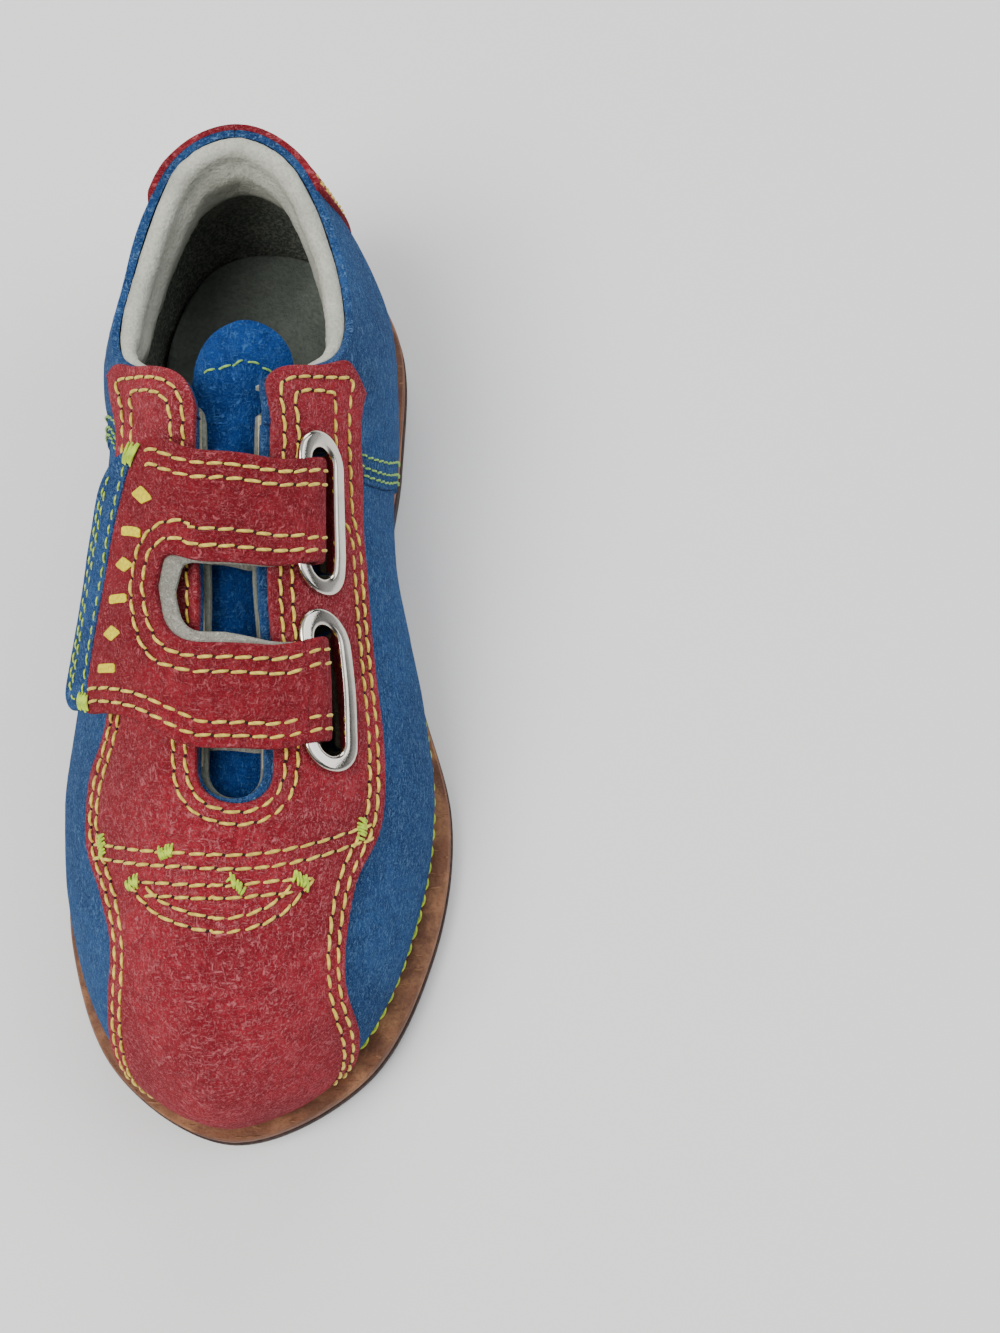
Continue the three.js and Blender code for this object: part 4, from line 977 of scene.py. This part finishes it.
apron_rows = [
    *border_rows(apron_border, (2.1, 4.4)),
    (cross, False), (moved_in(front_chart, cross, -2.6), False),
    (smile_top, False), (moved_in(front_chart, smile_top[3:-3], -2.4), False),
    (smile_arc, False), (moved_in(front_chart, smile_arc[3:-3], 2.5), False),
]
front_patch("apron_suede", apron_outline, RED_LOW, RED_HIGH, RED, spacing=1.05, rim=0.55, slot="red_suede",
            relief=grooved(front_chart, apron_rows, waved(17, 0.28, 31)), holes=slots, replaces=["apron"])
for path, closed in apron_rows:
    yellow.run(front_chart, path, RED_HIGH - 0.22, closed=closed)
TACKS = [
    (cross[2], (0, 1)), (cross[-3], (0, 1)), (cross[len(cross) // 4 + 3], (1, 0.1)),
    (smile_top[1], (1, 0.1)), (smile_top[-3], (1, 0)), (smile_top[len(smile_top) // 2 + 3], (1, 0.4)),
]
for spot, heading in TACKS:
    lime.tack(front_chart, spot, heading, RED_HIGH - 0.1, reach=1.9, width=1.1)

# ---------------------------------------------------------------- heel patch
patch_medial = line([(31, GIRTH), (31, 58), (30, 46), (28, 30), (26, 14), (24, -TUCK)], 1.2)
patch_lateral = line([(-31, GIRTH), (-31, 58), (-30, 46), (-28, 30), (-26, 14), (-24, -TUCK)], 1.2)
patch_outline = joined(straight([patch_lateral[0], patch_medial[0]]), patch_medial,
                       straight([patch_medial[-1], patch_lateral[-1]]), patch_lateral[::-1])[:-1]
heel_rows = [(moved_in(rear_chart, patch_medial[1:-2], d), False) for d in (2.0, 4.4)]
heel_rows += [(moved_in(rear_chart, patch_lateral[1:-2], -d), False) for d in (2.0, 4.4)]
patch("heel_patch_suede", rear_chart, patch_outline, RED_LOW, RED_HIGH, RED_STRAP, spacing=1.2, rim=0.55,
      slot="red_suede", relief=grooved(rear_chart, heel_rows, waved(18, 0.25, 41)), replaces=["heel_patch"])
for path, _ in heel_rows:
    yellow.run(rear_chart, path, RED_HIGH - 0.2)

# ---------------------------------------------------------------- linings and the padded collar
LINING_DEPTH = 3.7  # the lining's inner face below the leather's outer face, without the padding


def padding(w, t):
    return PAD * smooth(0.5, 0.74, t) * (1 - 0.55 * smooth(0.88, 1, t)) * (1 - smooth(2.5, 3.3, w))


def collar_chart(uv):
    """u is the station round the heel, medial positive; v runs over the roll, then down the inside."""
    side, w = np.where(uv[:, 0] >= 0, MEDIAL, LATERAL), np.abs(uv[:, 0]) / STATION
    radius = ((LINING_DEPTH - LEATHER + padding(w, 1.0)) / 2)[:, None]
    top, out = surface(side, w, 1.0), normal(side, w, 0.985)
    up = unit(top - surface(side, w, 0.93))
    over = uv[:, 1:2]
    angle = np.clip(over / radius, 0, math.pi)
    drop = radius * 1.3 * smooth(3.1, 3.9, w)[:, None] + 0.4
    roll = top + out * (-LEATHER - radius + radius * np.cos(angle)) + up * (radius * np.sin(angle) - drop)
    down = np.maximum(over - math.pi * radius, 0)
    t = 1 - down[:, 0] / 50
    inward = -normal(side, w, np.minimum(t, 0.985))
    depth = (LINING_DEPTH + padding(w, t))[:, None]
    wall = surface(side, w, t) + inward * depth - up * drop * (1 - smooth(0, 8, down))
    rolled = angle < math.pi
    return np.where(rolled, roll, wall), np.where(rolled, out * np.cos(angle) + up * np.sin(angle), inward)


collar = straight([(92.5, 0), (92.5, 56), (-98, 56), (-98, 0)], 1.4, closed=True)
lining = patch("padded_collar_lining", collar_chart, collar, -1.0, 0.0, LINING, spacing=1.5, rim=0.3,
               relief=waved(9, 0.2, 51, 0.12), slot="grey_lining", replaces=["quarter_lining"])
lining_medial, lining_lateral = medial_seam + (0, -3), lateral_seam + (0, -3)
lining_edge = throat(0.0, -0.9, -0.2)
lining_edge = lining_edge[lining_edge[:, 1] > 98.0]
# the vamp lining takes the darker copy of the lining, a painted shade
front_patch("vamp_lining_leather", vamp_outline(lining_edge, lining_medial, lining_lateral), -LINING_DEPTH,
            1.0 - LINING_DEPTH, LINING_PAINTED_SHADE, spacing=2.2, rim=0.25, holes=slots, slot="grey_lining",
            replaces=["vamp_lining"])

# ---------------------------------------------------------------- tongue
TONGUE_ROOT, TONGUE_TOP, TONGUE_HALF, TONGUE_ROUNDING = -46.0, 47.0, 17.5, 17.0
TONGUE_LEAN, TONGUE_FREE, TONGUE_DROOP = 3.5, 34.5, 0.02
TONGUE_LOW, TONGUE_HIGH = -8.5, -7.1


def tongue_middle(y):
    return THROAT_A + TONGUE_LEAN * smooth(0, 45, y)


def tongue_chart(uv):
    """The instep's chart, flattening towards the tongue's free top."""
    middle = tongue_middle(uv[:, 1])
    reach = uv[:, 0] - middle
    followed, facing = instep_chart(uv)
    free, free_facing = instep_chart(np.stack([middle, uv[:, 1]], axis=1))
    free = free + np.stack([reach, 0 * reach, -TONGUE_DROOP * reach**2], axis=1)
    free_facing = free_facing + np.stack([2 * TONGUE_DROOP * reach, 0 * reach, 0 * reach], axis=1)
    share = 0.85 * smooth(TONGUE_FREE, TONGUE_TOP, uv[:, 1])[:, None]
    return followed * (1 - share) + free * share, unit(facing * (1 - share) + free_facing * share)


def tongue_outline(edge):
    sides = []
    for s in np.linspace(0, 1, 120):
        y = TONGUE_ROOT + edge + (TONGUE_TOP - TONGUE_ROOT - 2 * edge) * math.sin(s * math.pi / 2)
        widening = 0.72 + 0.28 * float(smooth(TONGUE_ROOT, -15, y))
        from_top = min(max((y - (TONGUE_TOP - TONGUE_ROUNDING)) / TONGUE_ROUNDING, 0), 0.998)
        sides.append((TONGUE_HALF * widening * math.sqrt(1 - from_top**2.6) - edge, y))
    right = [(tongue_middle(y) + x, y) for x, y in sides]
    left = [(tongue_middle(y) - x, y) for x, y in sides[::-1]]
    return straight(joined(right, left), 1.1, closed=True)


tongue_row = line([(-7, 36.4), (0, 38.0), (7, 38.8), (14, 38.2), (19, 36.8)], 0.8)
tongue_rows = [(tongue_row, False)]
patch("tongue_suede", tongue_chart, tongue_outline(0), TONGUE_LOW, TONGUE_HIGH, BLUE_TONGUE, body="tongue",
      spacing=1.2, rim=0.55, slot="blue_suede", replaces=["tongue"],
      relief=grooved(tongue_chart, tongue_rows, waved(14, 0.3, 61), 0.2))
tongue_pale.run(tongue_chart, tongue_row, TONGUE_HIGH + 0.05, pitch=3.2, radius=0.24, length=0.7)
patch("tongue_backing", tongue_chart, tongue_outline(0.8), TONGUE_LOW - GAP - 1.1, TONGUE_LOW - GAP, LINING,
      body="tongue", spacing=2.0, rim=0.3, slot="grey_lining", replaces=["tongue_lining"])

# ---------------------------------------------------------------- grommets
GROMMET_PROFILE = joined(
    [(0.0, -4.6), (1.0, -4.6), (1.0, 1.9), (2.6, 1.9)],
    [(2.45 + 0.75 * math.cos(a), 2.25 + 0.75 * math.sin(a)) for a in np.linspace(-0.5, math.pi / 2, 7)],
    [(0.95 + 0.95 * math.cos(a), 2.05 + 0.95 * math.sin(a)) for a in np.linspace(math.pi / 2, math.pi, 8)],
)


def slot_ring(middle, outside, h, count=96):
    around = math.pi * (SLOT_WIDTH + 2 * outside) + 2 * (SLOT_LENGTH - SLOT_WIDTH)
    return on(instep_chart, slot_outline(middle, outside, around / count)[:count], np.full(count, h))


for place, middle in zip(("front", "rear"), GROMMET_Y):
    rings = np.array([slot_ring(middle, outside, h) for outside, h in GROMMET_PROFILE])
    rows, count = rings.shape[:2]
    points = rings.transpose(1, 0, 2).reshape(-1, 3)
    faces = grid_faces(count, rows, closed=True)
    for i in range(count):
        a, b = i * rows, (i + 1) % count * rows
        faces.append((a + rows - 1, b + rows - 1, b, a))
    add_mesh(f"nickel_grommet_{place}", points, [f[::-1] for f in faces], NICKEL, slot="nickel",
             replaces=[f"grommet_{place}"], sharp=50)

# ---------------------------------------------------------------- strap
SHEET = 50.0  # millimetres of drawing for the flap's whole length
EDGE_A, EDGE_LENGTH = -25.0, 47.0  # the lateral edge's girth at the front corner, and its length
STRAP_DIP = 3.5  # the strap lies this much nearer the toe where it crosses the ridge


def flap_edge(v):
    return EDGE_A + 2 * v + 12 * v * v


def sag_at(a):
    return -STRAP_DIP * (1 - smooth(5, 19, np.abs(a - THROAT_A)))


def flap_length(a, v):
    edges = [y + s * BAND_WIDTH / 2 for y in GROMMET_Y for s in (-1, 1)]
    beyond = 3 * BAND_WIDTH
    across = np.interp(v, (-1, 0, 1 / 3, 2 / 3, 1, 2), (edges[0] - beyond, *edges, edges[3] + beyond))
    on_fingers = across + sag_at(a)
    share = smooth(0, 1, a / flap_edge(v))
    return on_fingers + (EDGE_A + EDGE_LENGTH * v - on_fingers) * share


def strap_chart(uv):
    v = uv[:, 1] / SHEET
    return instep_chart(np.stack([uv[:, 0], flap_length(uv[:, 0], v)], axis=1))


FOLD_START = 14.5


def flap_outline(edge, window, corner):
    """window is how far the window's lateral, front and rear sides move in."""
    third = SHEET / 3
    lateral = [(flap_edge(v) + edge, SHEET * v) for v in np.linspace(1 - edge / SHEET, edge / SHEET, 14)]
    front, rear = third + window[1], 2 * third - window[2]
    points = [*lateral, (FOLD_START, edge), (FOLD_START, third - edge * 0.5), (2, front),
              (window[0] - 7.5, front), (window[0] - 8.8, third * 1.5), (window[0] - 7.0, rear), (2, rear),
              (FOLD_START, 2 * third + edge * 0.5), (FOLD_START, SHEET - edge)]
    radii = [0] * len(points)
    radii[0] = radii[13] = 2.5
    radii[17], radii[19] = corner, corner
    return straight(rounded(points, radii), 1.0, closed=True)


window_corners = [(FOLD_START, 2 * SHEET / 3), (-7.2, 2 * SHEET / 3), (-8.8, SHEET / 2), (-7.5, SHEET / 3),
                  (FOLD_START, SHEET / 3)]
window_path = straight(rounded(window_corners, (0, 5.5, 0, 5.5, 0))[1:-1], 0.8)
window_path = joined(window_corners[:1], window_path, window_corners[-1:])
front_row = line([(a, 0.0) for a in np.linspace(flap_edge(0) + 1, FOLD_START, 14)], 0.8)
rear_row = line([(a, SHEET) for a in np.linspace(flap_edge(1) + 1, FOLD_START, 14)], 0.8)
strap_rows = [*twin(strap_chart, front_row, 2.3, 2.5), *twin(strap_chart, rear_row, -2.3, -2.5),
              *twin(strap_chart, window_path, -2.4, -2.5)]
patch("strap_suede", strap_chart, flap_outline(0.0, (0, 0, 0), 5.5), FLAP_LOW, FLAP_HIGH, RED_STRAP,
      body="strap_flap", spacing=1.0, rim=0.5, slot="red_suede", square=FOLD_START - 0.01,
      relief=grooved(strap_chart, strap_rows, waved(15, 0.25, 71)), replaces=["strap_flap"])
patch("strap_backing", strap_chart, flap_outline(0.5, (2.6, 2.2, 0.4), 4.0), BACKING_LOW, BACKING_HIGH, FELT,
      body="strap_flap", spacing=1.5, rim=0.45, slot="grey_lining", relief=waved(8, 0.15, 72),
      replaces=["strap_flap_lining"])
for path, closed in strap_rows:
    flap_yellow.run(strap_chart, path, FLAP_HIGH - 0.22, closed=closed)


def tape_outline(inset):
    left = [(flap_edge(v) + inset, SHEET * v) for v in np.linspace(0.92, 0.08, 12)]
    return straight(rounded([*left, (-9.5, SHEET * 0.08), (-9.5, SHEET * 0.92)], 1.5), closed=True)


patch("hook_tape", strap_chart, tape_outline(2), 3.4, 4.3, TAPE, body="strap_flap", spacing=1.6, rim=0.25,
      slot="hook_tape", relief=waved(1.4, 0.14, 73), replaces=["hook_patch"])
patch("loop_tape", strap_chart, tape_outline(1), 1.75, 2.7, TAPE, spacing=1.3, rim=0.25, slot="hook_tape",
      relief=waved(1.3, 0.25, 74), replaces=["loop_patch"])

# six plain bars and lozenges where the shoe has printing
BAR = [(-2.2, -0.85), (2.2, -0.85), (2.2, 0.85), (-2.2, 0.85)]
LOZENGE = [(-2.3, 0), (0, -1.5), (2.3, 0), (0, 1.5)]
for k in range(6):
    middle = SHEET * (0.17 + 0.128 * k)
    centre = (flap_edge(middle / SHEET) + 5.2, middle)
    mark = rounded(np.array(LOZENGE if k % 2 else BAR) + centre, 0.25)
    patch(f"printed_mark_{k + 1}", strap_chart, straight(mark, 0.6, closed=True), FLAP_HIGH - 0.12,
          FLAP_HIGH + 0.1, PRINT, body="strap_flap", spacing=0.8, rim=0.08)

# ---------------------------------------------------------------- fingers' folds and the bands below
# each is a path of (girth, height)
RED_FOLD = line([(20.35, -2.2), (20.4, 0.0), (20.4, 1.8), (20.1, 3.6), (19.1, 5.2), (17.4, 6.05),
                 (FOLD_START, 6.25)], 0.7)
GREY_FOLD = line([(19.35, -2.0), (19.45, 0.0), (19.4, 1.6), (19.0, 3.3), (18.0, 4.4), (16.6, 4.9),
                  (FOLD_START, 5.0)], 0.7)
BAND_PATH = line([(-17, -5.2), (-12, -5.3), (-7, -5.4), (-3.5, -5.6), (1, -5.85), (5.5, -5.85), (10, -5.85),
                  (16.2, -5.85), (18.2, -5.7), (19.5, -4.6), (19.9, -3.0), (19.9, -1.2), (19.9, 0.6)], 0.9)
FOLD_TURNS = 20.4  # girth at which the fold stands upright


def path_frame(path):
    """The direction out from a path, to its left."""
    along = unit(np.gradient(path, axis=0))
    return np.stack([-along[:, 1], along[:, 0]], axis=1)


def band(name, path, thickness, middle, width, material, **options):
    """A flat band along a path of (girth, height), with rounded edges."""
    half, side = thickness / 2, width / 2
    rear_edge = [(side - 0.6, half), (side - 0.15, half * 0.75), (side, 0), (side - 0.1, -half * 0.6)]
    section = [(-x, h) for x, h in reversed(rear_edge)]
    section += [(x, half) for x in np.linspace(2 - side, side - 2, 10)] + rear_edge
    section += [(x, -half) for x in np.linspace(side - 0.6, 0.6 - side, 8)]
    spots = [(a + oa * lift, middle + y + float(sag_at(a)), h + oh * lift)
             for (a, h), (oa, oh) in zip(path, path_frame(path)) for y, lift in section]
    spots = np.array(spots)
    rows = len(section)
    faces = [(i * rows + j, i * rows + (j + 1) % rows, (i + 1) * rows + (j + 1) % rows, (i + 1) * rows + j)
             for i in range(len(path) - 1) for j in range(rows)]
    faces.append(tuple(range(rows))[::-1])
    faces.append(tuple((len(path) - 1) * rows + j for j in range(rows)))
    return add_mesh(name, on(instep_chart, spots[:, :2], spots[:, 2]), faces, material, sharp=60, **options)


def fold_chart_of(middle):
    """The outer face of one finger's fold: u is the length along it, v is the place across it."""
    out, lengths = path_frame(RED_FOLD), lengths_along(RED_FOLD)

    def chart(uv):
        a, h, oa, oh = (np.interp(uv[:, 0], lengths, c) for c in (*RED_FOLD.T, *out.T))
        place = middle + uv[:, 1] + sag_at(a)
        base, further = (on(instep_chart, np.stack([a - oa * lift, place], axis=1), h - oh * lift)
                         for lift in (0.6, 1.6))
        return base, unit(further - base)

    return chart, lengths[-1]


for place, middle in zip(("front", "rear"), GROMMET_Y):
    band(f"under_band_cloth_{place}", BAND_PATH, 1.2, middle, BAND_WIDTH, FELT, slot="grey_lining",
         replaces=[f"under_band_{place}"])
    start, end = (metres(on(instep_chart, [(FOLD_TURNS, middle)], h)[0]) for h in (1.2, 5.0))
    chart, reach = fold_chart_of(middle)
    sewing = Sewing(f"fold_stitches_{place}", 80 + len(place))
    for y in (-BAND_WIDTH / 2 + 2.3, -BAND_WIDTH / 2 + 4.8, BAND_WIDTH / 2 - 2.3, BAND_WIDTH / 2 - 4.8):
        sewing.run(chart, np.array([(reach, y), (reach * 0.25, y)]), -0.1, holes=False)
    pieces = [
        band(f"red_fold_{place}", RED_FOLD, 1.3, middle, BAND_WIDTH, RED_STRAP, body=None, slot="red_suede"),
        band(f"grey_fold_{place}", GREY_FOLD, 0.9, middle, BAND_WIDTH - 0.6, FELT, body=None,
             slot="grey_lining"),
        sewing.build(YELLOW, None),
    ]
    for piece in pieces:
        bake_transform(piece)

# ---------------------------------------------------------------- pull tab


def tab_chart(uv):
    """u is the reach out from the flap's lateral edge, v the flap's length."""
    v = uv[:, 1] / SHEET

    def edge(v, inward=0.0):
        a = flap_edge(v)
        return on(instep_chart, np.stack([a + inward, flap_length(a, v)], axis=1), (FLAP_LOW + FLAP_HIGH) / 2)

    root = edge(v)
    out = unit(root - edge(v, 3.0))
    up = unit(np.cross(edge(v + 0.01) - edge(v - 0.01), out))
    up *= np.sign(up[:, 2:])
    return root + out * uv[:, :1] - up * (0.012 * uv[:, :1] ** 2), up


def tab_points(points):
    """Points given by their reach and their share of the flap's length."""
    return [(reach, SHEET * share) for reach, share in points]


tab = straight(rounded(tab_points([(0, 0.03), (5.5, 0.03), (9.6, 0.11), (10, 0.5), (9.6, 0.89), (5.5, 0.97),
                                   (0, 0.97)]), (0.5, 3, 4, 30, 4, 3, 0.5)), 0.9, closed=True)
around = rounded(tab_points([(1.2, 0.065), (5, 0.075), (7.8, 0.15), (8.1, 0.5), (7.8, 0.85), (5, 0.925),
                             (1.2, 0.935)]), (0, 3, 3, 20, 3, 3, 0))
around = straight(around, 0.8)[:-6]
inner_row = line(tab_points([(6.2, 0.14), (6.4, 0.5), (6.2, 0.86)]), 0.8)
root_row = line(tab_points([(1.5, 0.08), (1.5, 0.92)]), 0.8)
tab_rows = [(around, False), (inner_row, False), (root_row, False)]
patch("pull_tab_suede", tab_chart, tab, -0.65, 0.65, BLUE, body="strap_flap", spacing=1.0, rim=0.5,
      slot="blue_suede", relief=grooved(tab_chart, tab_rows, waved(12, 0.2, 91), 0.2), replaces=["pull_tab"])
for path, closed in tab_rows:
    flap_lime.run(tab_chart, path, 0.45, pitch=2.8, radius=0.2, length=0.7)
for v in (0.05, 0.95):
    flap_lime.tack(tab_chart, np.array((0.4, SHEET * v)), (1, 0.3), 0.75, reach=1.6, width=1.5, count=9)

# ---------------------------------------------------------------- sole


def plan_chart(uv):
    return np.column_stack([uv, np.zeros(len(uv))]), np.tile((0.0, 0.0, 1.0), (len(uv), 1))


def sole_outline(inset, toe=float(END), feather=False):
    """The sole's edge moved in, or the feather line's, from the heel to a station."""
    sides = []
    w = np.linspace(0.0, toe, 120)
    for side in (MEDIAL, LATERAL):
        edge = (last_rows(side, w)[0] if feather else sole_edge(side, w))[:, :2]
        along = np.gradient(edge, axis=0)
        if toe == END:
            along[-1] = (-OUT[side], 0)
        along[0] = (OUT[side], 0)
        along = unit(along)
        sides.append(edge + np.stack([along[:, 1], -along[:, 0]], axis=1) * inset * OUT[side])
    return straight(joined(sides[0], sides[1][::-1])[:-1], 1.3, closed=True)


def by_length(function, add=0.0):
    return lambda flat: function(flat[:, 1]) + add


def sole_piece(node, name, outline, low, high, material, **options):
    patch(name, plan_chart, outline, low, high, material, replaces=[node], **options)


INSOLE_BOARD, SOCK_LINER = 2.0, 2.5
LINER_LOW = CEMENT + LEATHER + CEMENT + INSOLE_BOARD + GAP
sole_piece("outsole", "outsole_rubber", sole_outline(0), by_length(sole_bottom),
           by_length(sole_bottom, OUTSOLE), OUTSOLE_RUBBER, spacing=4.0, rim=0.5, under=0.5,
           slot="outsole_rubber")
sole_piece("midsole", "midsole_leather", sole_outline(0.35), by_length(sole_bottom, OUTSOLE),
           by_length(welt_top), MIDSOLE_LEATHER, spacing=3.0, rim=0.9, under=0.4,
           relief=waved(11, 0.12, 95), slot="midsole_leather")
sole_piece("heel_block", "heel_rubber", sole_outline(0.6, toe=3.5), 0.0, by_length(sole_bottom, -0.05),
           HEEL_RUBBER, spacing=4.0, rim=0.2, under=0.6, slot="heel_rubber")
sole_piece("sock_liner", "sock_liner_leather", sole_outline(4.4, feather=True),
           by_length(welt_top, LINER_LOW), by_length(welt_top, LINER_LOW + SOCK_LINER), SOCK, spacing=3.0,
           rim=0.8, relief=waved(14, 0.3, 96), slot="sock_liner")

# the thread that shows between the upper and the midsole
for side, first in ((MEDIAL, 4.6), (LATERAL, 8.0)):
    stations = np.linspace(first, END, 90)
    feather = np.stack([np.full(90, OUT[side] * (GIRTH - 0.4)), stations * STATION], axis=1)
    lime.run(front_chart, feather, -0.15, pitch=3.6, length=0.8, radius=0.42, holes=False)

for sewing, material, body, hole in (
    (yellow, YELLOW, "shoe", HOLE_SHADOW), (lime, LIME, "shoe", None), (pale, PALE_LIME, "shoe", None),
    (flap_yellow, YELLOW, "strap_flap", HOLE_SHADOW), (flap_lime, LIME, "strap_flap", None),
    (tongue_pale, PALE_LIME, "tongue", None),
):
    sewing.build(material, body, hole)

# ---------------------------------------------------------------- hidden pieces keep their CAD shape
HIDDEN = [
    (STIFFENER, ("toe_puff", "heel_counter", "facing_stay_medial", "facing_stay_lateral")),
    (FOAM, ("collar_foam",)), (CORK, ("forepart_filler",)), (BOARD, ("insole_board",)),
    (STEEL, ("grommet_washer_front", "grommet_washer_rear", "shank")),
]
for material, nodes in HIDDEN:
    for node in nodes:
        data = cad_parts[node].data
        data.materials.clear()
        data.materials.append(material)

# ---------------------------------------------------------------- floor, light and camera
bpy.ops.mesh.primitive_plane_add(size=6, location=(0, 0, -0.0002))
floor = bpy.context.object
floor.name = "floor"
paper = bpy.data.materials.new("floor")
paper.use_nodes = True
paper.node_tree.nodes["Principled BSDF"].inputs["Base Color"].default_value = (0.86, 0.86, 0.86, 1)
paper.node_tree.nodes["Principled BSDF"].inputs["Roughness"].default_value = 0.9
floor.data.materials.append(paper)


def area_light(name, place, size, power, colour=(1, 1, 1)):
    data = bpy.data.lights.new(name, "AREA")
    data.shape, data.size, data.energy, data.color = "RECTANGLE", size[0], power, colour
    data.size_y = size[1]
    light = bpy.data.objects.new(name, data)
    light.location = place
    light.rotation_euler = (Vector((0, 0, 0.03)) - Vector(place)).to_track_quat("-Z", "Y").to_euler()
    bpy.context.scene.collection.objects.link(light)


area_light("key", (-0.7, -0.5, 1.3), (0.9, 0.9), 26, (1.0, 0.98, 0.95))
area_light("fill", (1.1, 0.1, 0.9), (1.1, 1.1), 9, (0.93, 0.97, 1.0))
area_light("back", (0.1, 1.2, 0.8), (1.2, 0.6), 9)
world = bpy.data.worlds.new("studio")
bpy.context.scene.world = world
world.use_nodes = True
sky = world.node_tree.nodes
around = sky.new("ShaderNodeTexCoord")
split = sky.new("ShaderNodeSeparateXYZ")
ramp = sky.new("ShaderNodeValToRGB")
world.node_tree.links.new(around.outputs["Generated"], split.inputs["Vector"])
world.node_tree.links.new(split.outputs["Z"], ramp.inputs["Fac"])
world.node_tree.links.new(ramp.outputs["Color"], sky["Background"].inputs["Color"])
below, above = ramp.color_ramp.elements
below.position, below.color = 0.05, (0.75, 0.77, 0.8, 1)
above.position, above.color = 0.85, (1.0, 1.0, 1.0, 1)
for height, shade in ((0.2, 0.18), (0.5, 0.12), (0.66, 0.9)):  # a dark band for the metal to reflect
    ramp.color_ramp.elements.new(height).color = (shade, shade, shade * 1.04, 1)
sky["Background"].inputs["Strength"].default_value = 0.7

SENSOR = (27, 36)
TILT = math.radians(70)  # below the horizontal
TARGET, DISTANCE = Vector((0.05047, -0.0076, 0.025)), 0.354
camera_data = bpy.data.cameras.new("camera")
camera_data.sensor_fit = "VERTICAL"
camera_data.sensor_width, camera_data.sensor_height = SENSOR
camera_data.lens = 45.9
camera = bpy.data.objects.new("camera", camera_data)
heading = Vector((0, math.cos(TILT), -math.sin(TILT)))
camera.location = TARGET - heading * DISTANCE
camera.rotation_euler = heading.to_track_quat("-Z", "Y").to_euler()
bpy.context.scene.collection.objects.link(camera)
bpy.context.scene.camera = camera
